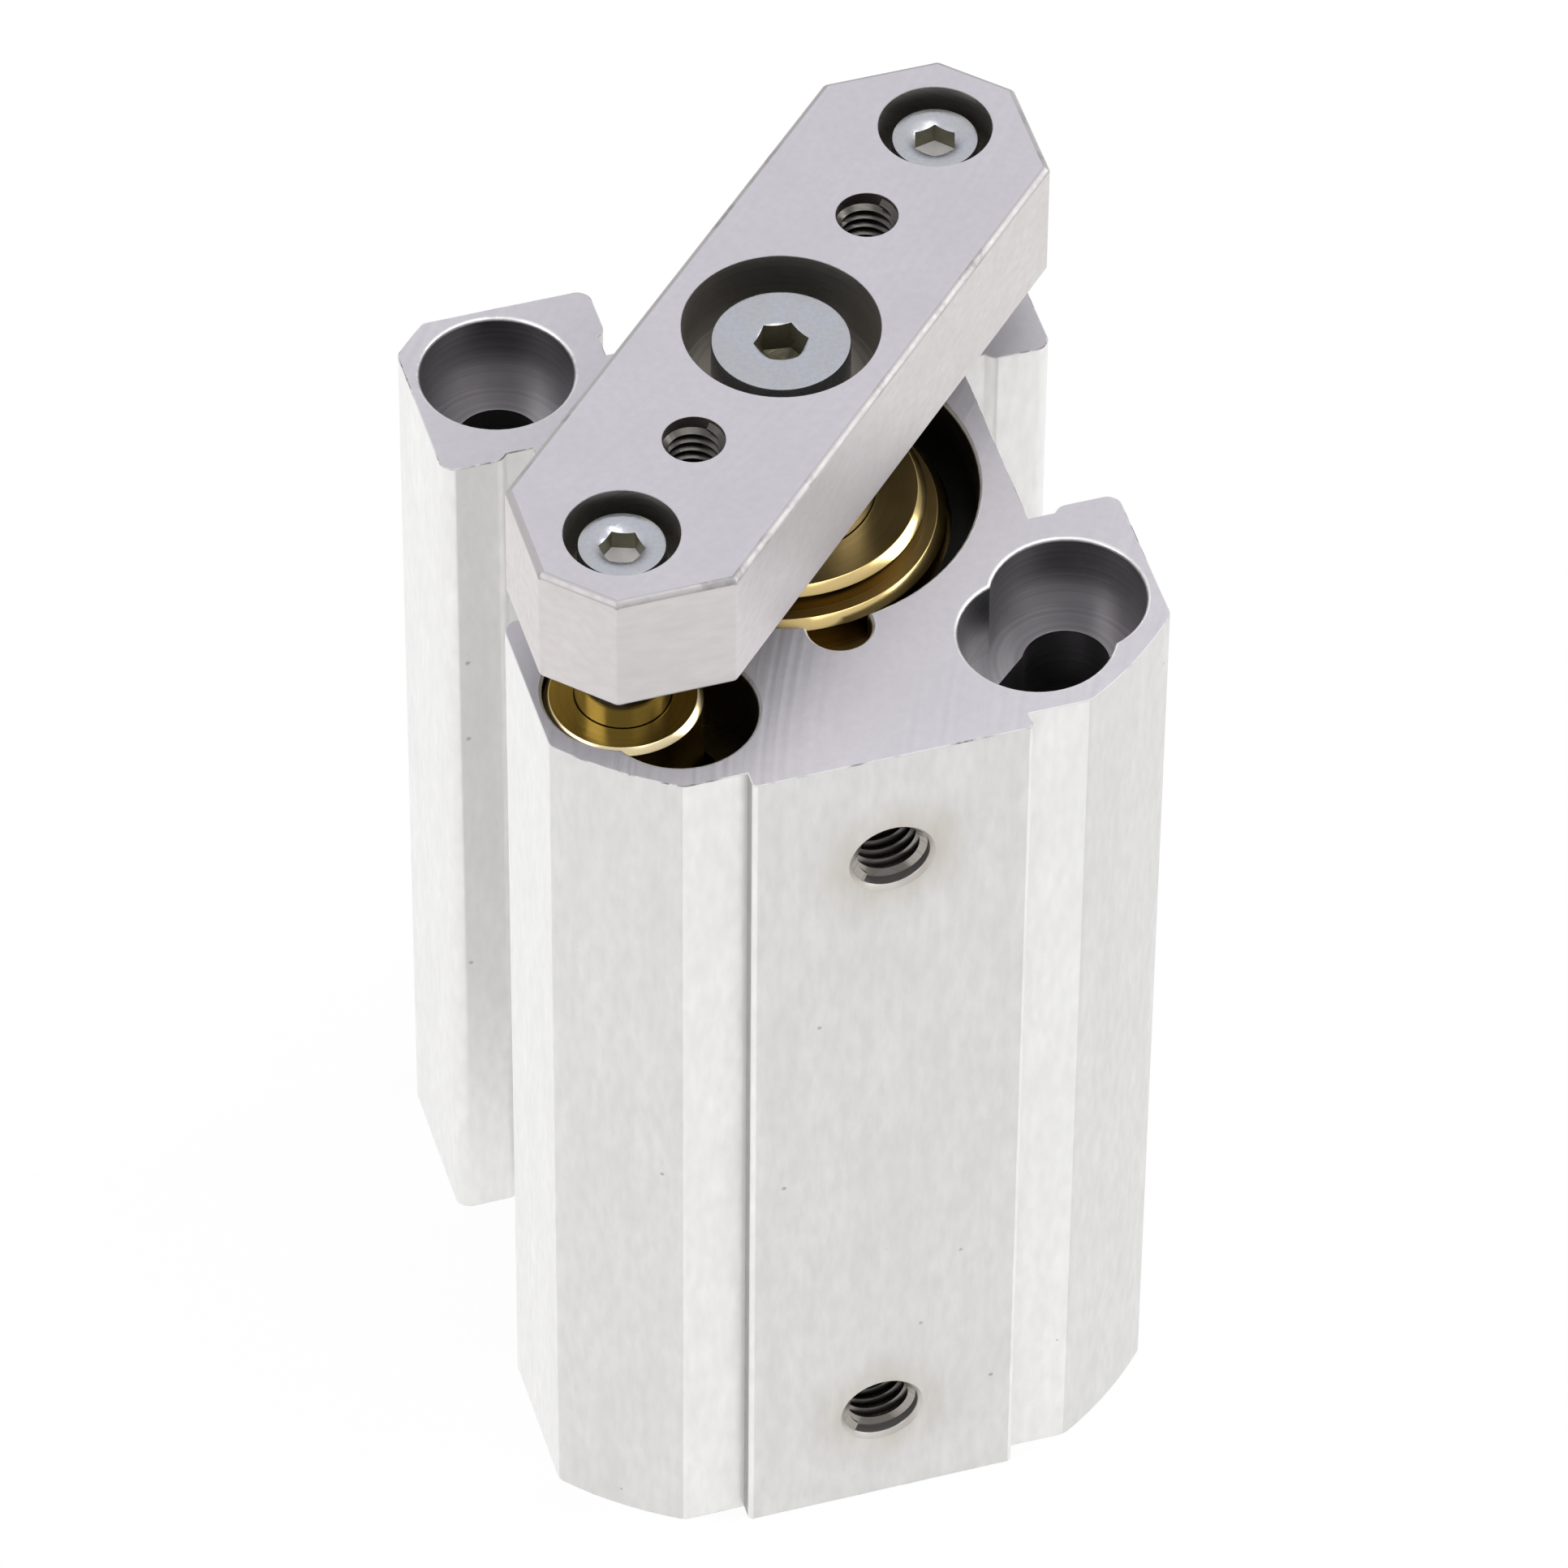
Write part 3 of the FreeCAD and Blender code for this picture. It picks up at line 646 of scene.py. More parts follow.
class Workpiece:
    """One piece's mesh while it is shaped, and its release as an object."""

    MERGE = 0.002
    FLAT_ANGLE = math.radians(0.5)
    SHARP_ANGLE = math.radians(40.0)
    CORNER_ANGLE = math.radians(25.0)
    HEXAGON = 6

    def __init__(self) -> None:
        """Start with an empty mesh."""
        self.mesh = bmesh.new()

    @classmethod
    def from_node(cls, node: str) -> "Workpiece":
        """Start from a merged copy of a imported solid.

        Args:
            node: The solid's name.

        Returns:
            The workpiece, with flat faces in one piece where they can be.
        """
        work = cls()
        work.mesh.from_mesh(frame["nodes"][node].data)
        bmesh.ops.remove_doubles(work.mesh, verts=work.mesh.verts, dist=cls.MERGE * MM)
        geometry = {"verts": work.mesh.verts, "edges": work.mesh.edges}
        bmesh.ops.dissolve_limit(work.mesh, angle_limit=cls.FLAT_ANGLE, **geometry)
        return work

    def sort_faces(self, rule: Callable[[Face], int]) -> None:
        """Give each face its skin.

        Args:
            rule: Tells a face's skin.
        """
        self.mesh.normal_update()
        for face in self.mesh.faces:
            face.material_index = rule(face)

    def soften(self, width: float, first: Iterable[int], second: Iterable[int], skin: int | None = None,
               segments: int = 2) -> None:
        """Round the outer edges between two kinds of skin.

        Args:
            width: The round's width.
            first: The skins on one side of the edges.
            second: The skins on the other side.
            skin: The skin of the rounds, or None to keep the neighbour's.
            segments: How many facets a round has.
        """
        first, second = set(first), set(second)
        edges = []
        for edge in self.mesh.edges:
            skins = [face.material_index for face in edge.link_faces]
            pairs = (skins, skins[::-1])
            if any(len(pair) == 2 and pair[0] in first and pair[1] in second for pair in pairs):
                if edge.calc_face_angle_signed() > self.CORNER_ANGLE:
                    edges.append(edge)
        made = bmesh.ops.bevel(self.mesh, geom=edges, offset=width * MM, segments=segments, profile=0.5,
                               affect="EDGES", material=-1, clamp_overlap=False)
        for face in made["faces"] if skin is not None else ():
            face.material_index = skin

    def narrow(self, centre: Vector, reach: float, radius: float) -> None:
        """Draw the mouth of an upright hole in.

        Args:
            centre: The mouth's middle.
            reach: How far from it the rim's points may lie.
            radius: The mouth's new radius.
        """
        rim = [vert for vert in self.mesh.verts if (vert.co / MM - centre).length < reach
               and abs(vert.co.z / MM - centre.z) < self.MERGE]
        factor = radius / ((rim[0].co / MM - centre).length)
        space = Matrix.Translation(-centre * MM)
        bmesh.ops.scale(self.mesh, vec=(factor, factor, 1.0), space=space, verts=rim)

    def turn(self, profile: Sequence[Pair], centre: Vector, steps: int) -> list[Edge]:
        """Spin a profile about an upright axis.

        Args:
            profile: Radius and height of each point, from the rim inside to the axis at the bottom.
            centre: The axis, at height 0 of the profile.
            steps: How many steps the turn has.

        Returns:
            The open loop that the first point drew.
        """
        points = [self.mesh.verts.new(centre + Vector((radius, 0.0, height)) * MM)
                  for radius, height in profile]
        edges = [self.mesh.edges.new(pair) for pair in zip(points, points[1:])]
        bmesh.ops.spin(self.mesh, geom=points + edges, cent=centre, axis=UP, angle=FULL_TURN, steps=steps,
                       use_merge=True)
        bmesh.ops.remove_doubles(self.mesh, verts=self.mesh.verts, dist=self.MERGE * MM)
        return [edge for edge in self.mesh.edges if edge.is_boundary]

    def sink_hexagon(self, rim: list[Edge], centre: Vector, width: float, turn: float, slope: float,
                     depth: float, drop: float) -> None:
        """Close a round rim with a countersunk hexagon socket.

        Args:
            rim: The open round loop.
            centre: The socket's axis at the rim's height.
            width: The hexagon across its flats.
            turn: The angle of one of its corners.
            slope: The countersink's drop for each step inwards.
            depth: How deep its walls reach below the rim.
            drop: How much deeper the middle of its floor is.
        """
        lip = (rim[0].verts[0].co - centre).length
        place = Matrix.Translation(centre) @ Matrix.Rotation(turn, 4, "Z")
        bmesh.ops.create_circle(self.mesh, segments=self.HEXAGON, radius=hex_corner(width) * MM, matrix=place)
        sides = [edge for edge in self.mesh.edges if edge.is_wire]
        bmesh.ops.subdivide_edges(self.mesh, edges=sides, cuts=len(rim) // len(sides) - 1)
        loop = [edge for edge in self.mesh.edges if edge.is_wire]
        for vert in {vert for edge in loop for vert in edge.verts}:
            vert.co.z -= slope * (lip - (vert.co - centre).length)
        bmesh.ops.bridge_loops(self.mesh, edges=rim + loop)
        walls = bmesh.ops.extrude_edge_only(self.mesh, edges=loop)["geom"]
        for vert in pick(walls, Vert):
            vert.co.z = centre.z - depth * MM
        base = [edge for edge in pick(walls, Edge) if edge.is_boundary]
        cap = bmesh.ops.extrude_edge_only(self.mesh, edges=base)["geom"]
        for items, skin in ((walls, ScrewSkin.SOCKET), (cap, ScrewSkin.FLOOR)):
            for face in pick(items, Face):
                face.material_index = skin
        bmesh.ops.pointmerge(self.mesh, verts=pick(cap, Vert), merge_co=centre - UP * (depth + drop) * MM)

    def close(self) -> None:
        """Close what is open and turn every face outwards."""
        bmesh.ops.holes_fill(self.mesh, edges=[edge for edge in self.mesh.edges if edge.is_boundary])
        bmesh.ops.recalc_face_normals(self.mesh, faces=self.mesh.faces)

    def release(self, name: str, carrier: Carrier, slot: str, finishes: Sequence[Finish],
                replaced: str | None = None) -> Piece:
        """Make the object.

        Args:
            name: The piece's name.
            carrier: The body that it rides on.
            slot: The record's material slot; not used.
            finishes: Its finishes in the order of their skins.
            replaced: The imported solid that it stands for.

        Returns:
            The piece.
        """
        data = bpy.data.meshes.new(name)
        self.mesh.to_mesh(data)
        self.mesh.free()
        stale = data.attributes.get("custom_normal")
        if stale is not None:
            data.attributes.remove(stale)
        data.shade_smooth()
        data.set_sharp_from_angle(angle=self.SHARP_ANGLE)
        for finish in finishes:
            data.materials.append(finish.material())
        piece = add_object(name, data)
        piece.modifiers.new("even_shading", "WEIGHTED_NORMAL").keep_sharp = True
        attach(piece, carrier.value)
        if replaced is not None:
            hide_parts(replaced)
        return piece


def heights(node: str) -> Pair:
    """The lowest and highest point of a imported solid."""
    low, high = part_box(node)
    return low.z / MM, high.z / MM


def dress_solids(finishes: Mapping[str, Finish]) -> list[Piece]:
    """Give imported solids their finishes.

    Args:
        finishes: The finish of each solid, by the solid's name.

    Returns:
        The solids' objects.
    """
    solids = [frame["nodes"][node] for node in finishes]
    for solid, finish in zip(solids, finishes.values()):
        solid.material_slots[0].material = finish.material()
    return solids


def add_object(name: str, data: ID) -> Piece:
    """Add an object to the scene.

    Args:
        name: Its name.
        data: Its mesh, lamp or camera.

    Returns:
        The object.
    """
    made = bpy.data.objects.new(name, data)
    bpy.context.scene.collection.objects.link(made)
    return made


@dataclass(frozen=True)
class ThreadRidge:
    """The helical ridge of a metric thread, cut in a hole or round a shank."""

    nominal: float
    pitch: float
    length: float
    steps: int = 40
    sink: float = 0.02
    height_share: float = 0.54
    foot_share: float = 0.44
    crest_share: float = 0.1

    def cut(self, work: Workpiece, mouth: Vector, axis: Vector, inward: bool = True) -> None:
        """Add the ridge to a workpiece.

        Args:
            work: The piece that gets it.
            mouth: Where the thread starts on its axis.
            axis: The direction out of the hole or off the shank.
            inward: Whether the ridge stands inwards, as in a hole.
        """
        height = self.height_share * self.pitch
        wall = self.nominal / 2.0 + (self.sink if inward else -height - self.sink)
        crest = self.nominal / 2.0 - (height if inward else 0.0)
        across = axis.orthogonal().normalized()
        section = ((wall, -self.foot_share), (wall, self.foot_share),
                   (crest, self.crest_share), (crest, -self.crest_share))
        start = mouth - axis * self.foot_share * self.pitch * MM
        points = [work.mesh.verts.new(start + across * radius * MM + axis * share * self.pitch * MM)
                  for radius, share in section]
        edges = [work.mesh.edges.new(pair) for pair in zip(points, points[1:] + points[:1])]
        turns = self.length / self.pitch - 1.0
        steps = round(turns * self.steps)
        advance = -axis * self.pitch * MM / self.steps
        bmesh.ops.spin(work.mesh, geom=points + edges, cent=mouth, axis=axis, dvec=advance,
                       angle=-FULL_TURN * steps / self.steps, steps=steps)

    def line(self, mouth: Vector, axis: Vector) -> Workpiece:
        """Line a hole with the ridge, as a piece of its own.

        Args:
            mouth: Where the thread starts on its axis.
            axis: The direction out of the hole.

        Returns:
            The closed workpiece.
        """
        work = Workpiece()
        self.cut(work, mouth, axis)
        work.close()
        return work


@dataclass(frozen=True)
class Drilling:
    """A hole across a body, and how far its machined wall reaches from its axis."""

    x: float
    y: float
    reach: float
    skin: Skin = Skin.TURNED

    def holds(self, x: float, y: float) -> bool:
        """Whether a point lies on the hole's wall."""
        return math.hypot(x - self.x, y - self.y) < self.reach


BODY_SIDES = DrawnAluminium("drawn_body_sides", (0.925, 0.92, 0.905), 0.75, 0.34)
BODY_PANEL = DrawnAluminium("matt_body_panel", (0.785, 0.78, 0.765), 0.7, 0.42, ports=PORT_HEIGHTS)
# Painted shade: the narrow step walls beside the front panel are darkened for the shade in that corner.
BODY_STEP_SHADE = DrawnAluminium("painted_shade_body_steps", (0.42, 0.415, 0.4), 0.6, 0.45)
BODY_ENDS = MilledAluminium("milled_body_ends", (0.745, 0.73, 0.76), 0.97, 0.6)
# Painted shade: the bored counterbore walls are darker than bare aluminium, for the shade inside them.
BODY_HOLE_SHADE = TurnedMetal("bored_body_holes_painted_shade", (0.41, 0.4, 0.41), 1.0, 0.36, axis=CORNER)
# Painted shade: the central bore, the front pocket and the guide corners take a near-black finish for the
# shade deep inside them.
BODY_BORE_SHADE = TurnedMetal("painted_shade_body_bores", (0.17, 0.165, 0.14), 1.0, 0.3)
BODY_RIMS = BrokenEdge("bright_hole_rims", (0.93, 0.92, 0.91), 0.8, 0.35)
BODY_EDGES = BrokenEdge("nicked_body_edges", (0.74, 0.735, 0.72), 0.4, 0.5, nick_share=1.0)
PLATE_SIDES = DrawnAluminium("drawn_plate_sides", (0.695, 0.662, 0.645), 0.5, 0.38,
                             turn=(0.0, math.pi / 2.0, -math.pi / 4.0), pit_share=0.08)
PLATE_FACES = MilledAluminium("milled_plate_faces", (0.78, 0.76, 0.795), 0.95, 0.33, cutter=(-80.0, 90.0))
# Painted shade: the plate's bored holes are darker than bare aluminium, for the shade inside them.
PLATE_HOLE_SHADE = TurnedMetal("bored_plate_holes_painted_shade", (0.3, 0.285, 0.26), 1.0, 0.38)
# Painted shade: the plate's underside is darker than its top, for the shade under the plate.
PLATE_UNDER_SHADE = MilledAluminium("painted_shade_plate_underside", (0.44, 0.43, 0.43), 0.9, 0.45, cutter=(-80.0, 90.0))
PLATE_EDGES = BrokenEdge("nicked_plate_edges", (0.5, 0.48, 0.475), 0.6, 0.5, nick_share=0.4)
# Painted shade: the bored walls of the ports are darkened for the shade inside them.
PORT_WALL_SHADE = TurnedMetal("painted_shade_port_walls", (0.3, 0.29, 0.28), 0.9, 0.5)
# Painted shade: the port threads are darkened, more so deeper in, for the shade inside the ports.
PORT_THREAD_SHADE = TurnedMetal("cut_port_threads_painted_shade", (0.37, 0.345, 0.315), 1.0, 0.22, shade_depths=(23.4, 21.9))
# Painted shade: the plate's tapped threads are nearly black, for the shade inside the holes.
TAP_THREAD_SHADE = TurnedMetal("cut_plate_threads_painted_shade", (0.11, 0.105, 0.095), 1.0, 0.25)
COLLAR_BRONZE = TurnedBronze("turned_collar_bronze", (0.8, 0.61, 0.26), 1.0, 0.17)
# Painted shade: the collar's walls and end faces are darker copies of its bronze, for the shade and dark
# reflections in the bore under the plate.
COLLAR_WALL_SHADE = TurnedBronze("collar_walls_painted_shade", (0.2, 0.13, 0.035), 1.0, 0.2)
COLLAR_END_SHADE = TurnedBronze("collar_ends_painted_shade", (0.26, 0.185, 0.068), 1.0, 0.36)
# Painted shade: the bush's walls and end faces are a darker copy of the bronze of its bright rims.
BUSH_BRONZE_SHADE = TurnedBronze("bush_bronze_painted_shade", (0.62, 0.4, 0.07), 1.0, 0.2, axis=CORNER)
BUSH_RIMS = TurnedBronze("bright_bush_rims", (0.9, 0.76, 0.45), 1.0, 0.2, axis=CORNER)
ZINC = PlatedSteel("zinc_plated_screws", (0.6, 0.63, 0.67), 0.95, 0.24)
# Painted shade: the socket walls are dark for the shade inside the hexagon socket.
SOCKET_SHADE = Moulded("screw_sockets_painted_shade", (0.21, 0.2, 0.14), 0.8, 0.35)
# Painted highlight: the small screws' socket floors are pale for the sky light they reflect.
SOCKET_FLOOR_HIGHLIGHT = Moulded("socket_floors_painted_highlight", (0.72, 0.7, 0.68), 0.2, 0.5)
ROD_CHROME = GroundSteel("ground_rod_chrome", (0.62, 0.62, 0.63), 1.0, 0.1)
# Painted shade: the guide rods are much darker than bright chrome, for the shade under the plate.
GUIDE_ROD_SHADE = GroundSteel("ground_guide_steel_painted_shade", (0.22, 0.22, 0.225), 1.0, 0.12, axis=CORNER)
SPRING_BLACK = TurnedMetal("black_spring_steel", (0.012, 0.012, 0.01), 0.8, 0.35)
HEAD_METAL = TurnedMetal("turned_head_plate", (0.66, 0.66, 0.68), 1.0, 0.28)
PISTON_METAL = TurnedMetal("turned_piston", (0.6, 0.6, 0.62), 1.0, 0.28)
RUBBER = Moulded("black_seal_rubber", (0.018, 0.018, 0.018))
URETHANE = Moulded("amber_urethane", (0.5, 0.3, 0.08), roughness=0.45)
FERRITE = Moulded("grey_ferrite", (0.06, 0.06, 0.065), roughness=0.7)
RESIN = Moulded("brown_wear_resin", (0.09, 0.06, 0.035))


@dataclass
class Barrel:
    """The extruded body with its bored, drilled and tapped holes."""

    corner_round: float = 0.3
    edge: float = 0.07
    rim: float = 0.22
    inner_edge: float = 0.06
    end_depth: float = 0.05
    shelf_front: float = 23.3
    corner_radius: float = 26.7
    port_reach: float = 2.9
    port_floor: float = -14.0
    port_start: float = 0.25
    flat_slope: float = 0.9
    cone_slope: float = 0.2
    port: ThreadRidge = ThreadRidge(nominal=5.0, pitch=0.8, length=6.6)
    ends: Pair = field(default_factory=lambda: heights("cylinder_tube"))
    drillings: list[Drilling] = field(default_factory=lambda: [
        Drilling(0.0, 0.0, 13.25, Skin.BORED_DEEP_SHADE), Drilling(0.0, -12.85, 2.2, Skin.BORED_DEEP_SHADE),
        Drilling(-CORNER, -CORNER, 5.25, Skin.BORED_DEEP_SHADE), Drilling(CORNER, CORNER, 5.25, Skin.BORED_DEEP_SHADE),
        Drilling(-11.5, -16.9, 5.1, Skin.BORED_DEEP_SHADE), Drilling(11.5, -16.9, 5.1),
        Drilling(CORNER, -CORNER, 5.25), Drilling(-CORNER, CORNER, 5.25)])

    def skin(self, face: Face) -> Skin:
        """Tell how a face of the body was made, or the painted shade it carries.

        Args:
            face: The face.

        Returns:
            Its skin.
        """
        centre = face.calc_center_median() / MM
        to_end = min(abs(centre.z - end) for end in self.ends)
        if abs(face.normal.z) > self.flat_slope and to_end < self.end_depth:
            return Skin.MILLED
        in_port = any(math.hypot(centre.x, centre.z - height) < self.port_reach for height in PORT_HEIGHTS)
        if in_port and centre.y < self.port_floor and abs(face.normal.y) < self.flat_slope:
            return Skin.MATT_OR_SHADED if abs(face.normal.y) > self.cone_slope else Skin.TAPPED
        for drilling in self.drillings:
            if drilling.holds(centre.x, centre.y):
                return drilling.skin
        if centre.y < -self.shelf_front - self.end_depth:
            return Skin.STEP if abs(face.normal.x) > self.flat_slope else Skin.MATT_OR_SHADED
        on_arc = math.hypot(centre.x, centre.y) > self.corner_radius - self.end_depth
        return Skin.MATT_OR_SHADED if on_arc else Skin.DRAWN

    def build(self) -> list[Piece]:
        """Build the body and the threads in its ports.

        Returns:
            The pieces.
        """
        outside = (Skin.DRAWN, Skin.MATT_OR_SHADED, Skin.STEP)
        inside = (Skin.TURNED, Skin.TAPPED, Skin.BORED_DEEP_SHADE, Skin.EDGE)
        body = Workpiece.from_node("cylinder_tube")
        body.sort_faces(self.skin)
        body.soften(self.corner_round, (Skin.DRAWN,), outside, segments=3)
        body.soften(self.corner_round, (Skin.MATT_OR_SHADED,), (Skin.STEP,), Skin.DRAWN, segments=3)
        body.soften(self.edge, outside, (Skin.MILLED,), Skin.NICKED)
        body.soften(self.rim, (Skin.TURNED, Skin.BORED_DEEP_SHADE), (Skin.MILLED,), Skin.EDGE)
        body.soften(self.inner_edge, inside, (*inside, Skin.MATT_OR_SHADED))
        finishes = (BODY_SIDES, BODY_ENDS, BODY_HOLE_SHADE, BODY_RIMS, BODY_PANEL, BODY_STEP_SHADE, PORT_WALL_SHADE,
                    BODY_BORE_SHADE, BODY_EDGES)
        slot = "body_aluminium"
        pieces = [body.release("extruded_body", Carrier.BARREL, slot, finishes, "cylinder_tube")]
        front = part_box("cylinder_tube")[0].y
        for name, height in zip(("head_port_thread", "rod_port_thread"), PORT_HEIGHTS):
            mouth = Vector((0.0, front + self.port_start * MM, height * MM))
            thread = self.port.line(mouth, FRONT)
            pieces.append(thread.release(name, Carrier.BARREL, slot, (PORT_THREAD_SHADE,)))
        return pieces


@dataclass(frozen=True)
class BronzeTurning:
    """An upright turned piece of bronze, whose walls and end faces take painted shade and whose cones keep
    the bright bronze.
    """

    edge: float = 0.05
    wall_slope: float = 0.2
    face_slope: float = 0.97

    def skin(self, face: Face) -> BronzeSkin:
        """Tell how a face is coloured: walls and ends in painted shade, cones bright.

        Args:
            face: The face.

        Returns:
            Its skin.
        """
        slope = abs(face.normal.z)
        if slope < self.wall_slope:
            return BronzeSkin.SHADED_WALL
        return BronzeSkin.SHADED_END if slope > self.face_slope else BronzeSkin.BRIGHT

    def build(self, node: str, name: str, slot: str, finishes: Sequence[Finish]) -> Piece:
        """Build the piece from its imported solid.

        Args:
            node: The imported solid.
            name: The piece's name.
            slot: The record's material slot.
            finishes: Its finishes in the order of their skins.

        Returns:
            The piece.
        """
        skins = tuple(BronzeSkin)
        work = Workpiece.from_node(node)
        work.sort_faces(self.skin)
        work.soften(self.edge, skins, skins)
        return work.release(name, Carrier.BARREL, slot, finishes, node)


@dataclass
class RodEnd:
    """The bronze collar that guides and seals the rod, with its ring and seals."""

    turning: BronzeTurning = BronzeTurning()
    finishes: dict[str, Finish] = field(default_factory=lambda: {
        "collar_retaining_ring": SPRING_BLACK, "collar_gasket": RUBBER, "rod_seal": RUBBER})

    def build(self) -> list[Piece]:
        """Build the collar and dress what lies round it.

        Returns:
            The pieces.
        """
        finishes = (COLLAR_BRONZE, COLLAR_WALL_SHADE, COLLAR_END_SHADE)
        collar = self.turning.build("rod_collar", "bronze_collar", "collar_bronze", finishes)
        return [collar, *dress_solids(self.finishes)]


@dataclass
class HeadEnd:
    """The plate and gasket that close the bottom of the bore."""

    finishes: dict[str, Finish] = field(default_factory=lambda: {
        "head_plate": HEAD_METAL, "head_plate_gasket": RUBBER})

    def build(self) -> list[Piece]:
        """Dress the plate and its gasket."""
        return dress_solids(self.finishes)


@dataclass
class Piston:
    """The piston with its rings and bumpers, on the rod."""

    finishes: dict[str, Finish] = field(default_factory=lambda: {
        "piston": PISTON_METAL, "piston_rod": ROD_CHROME, "piston_seal": RUBBER, "piston_magnet": FERRITE,
        "piston_wear_ring": RESIN, "head_bumper": URETHANE, "rod_bumper": URETHANE})

    def build(self) -> list[Piece]:
        """Dress the piston, its rod and its rings."""
        return dress_solids(self.finishes)


@dataclass(frozen=True)
class SocketScrew:
    """A hexagon socket screw with a bare head."""

    thread: float
    pitch: float
    head: float
    height: float
    socket: float
    socket_depth: float
    rim: float
    steps: int = 72
    slope: float = 0.6
    floor_drop: float = 0.5
    floor: Finish = SOCKET_SHADE
    core_share: float = 0.56
    round: float = 0.3
    shoulder: tuple[Pair, ...] = ((1.0, 0.0), (0.3, 0.2), (0.0, 0.8))
    foot: float = 0.1
    plain: float = 0.5
    runout: float = 0.2
    tip: float = 0.4

    def build(self, node: str, name: str, turn: float) -> Piece:
        """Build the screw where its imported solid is.

        Args:
            node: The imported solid.
            name: The piece's name.
            turn: How far its socket is turned, in degrees.

        Returns:
            The screw.
        """
        low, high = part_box(node)
        top = Vector(((low.x + high.x) / 2.0, (low.y + high.y) / 2.0, high.z))
        length = (high.z - low.z) / MM
        work = Workpiece()
        rim = work.turn(self.profile(length), top, self.steps)
        work.sink_hexagon(rim, top, self.socket, math.radians(turn), self.slope, self.socket_depth,
                          self.floor_drop)
        ridge = ThreadRidge(self.thread, self.pitch, length - self.height - 2.0 * self.plain)
        ridge.cut(work, top - UP * (self.height + self.plain) * MM, UP, inward=False)
        work.close()
        return work.release(name, Carrier.SLIDE, "screw_zinc", (ZINC, SOCKET_SHADE, self.floor), node)

    def profile(self, length: float) -> list[Pair]:
        """The half section from the socket's rim over the head and down the shank.

        Args:
            length: The screw's whole length.

        Returns:
            Radius and height of each point.
        """
        side, shank = self.head / 2.0, self.thread / 2.0
        core = shank - self.core_share * self.pitch
        under = -self.height
        neck = under - self.plain
        shoulder = [(side - inset * self.round, -drop * self.round) for inset, drop in self.shoulder]
        return [
            (hex_corner(self.socket) + self.rim, 0.0), *shoulder, (side, under + self.foot),
            (side - self.foot, under), (shank, under), (shank, neck), (core, neck - self.runout),
            (core, -length + self.tip), (core - self.tip, -length), (0.0, -length)]


@dataclass
class GuideSet:
    """Two guide rods in bronze bushes, each with its screw."""

    turning: BronzeTurning = BronzeTurning()
    screw: SocketScrew = SocketScrew(thread=3.0, pitch=0.5, head=5.5, height=3.0, socket=2.5,
                                     socket_depth=1.6, rim=0.36, round=0.25, floor_drop=0.3,
                                     floor=SOCKET_FLOOR_HIGHLIGHT)
    turns: dict[str, float] = field(default_factory=lambda: {"front": 10.0, "back": 43.0})

    def build(self) -> list[Piece]:
        """Build both guides.

        Returns:
            The pieces.
        """
        finishes = (BUSH_RIMS, BUSH_BRONZE_SHADE, BUSH_BRONZE_SHADE)
        pieces = []
        for side, turn in self.turns.items():
            for level in ("upper", "lower"):
                node, name = f"{side}_{level}_guide_bush", f"{side}_{level}_bush"
                pieces.append(self.turning.build(node, name, "bush_bronze", finishes))
            pieces += dress_solids({f"{side}_guide_rod": GUIDE_ROD_SHADE})
            pieces.append(self.screw.build(f"{side}_guide_screw", f"{side}_cap_screw", turn))
        return pieces


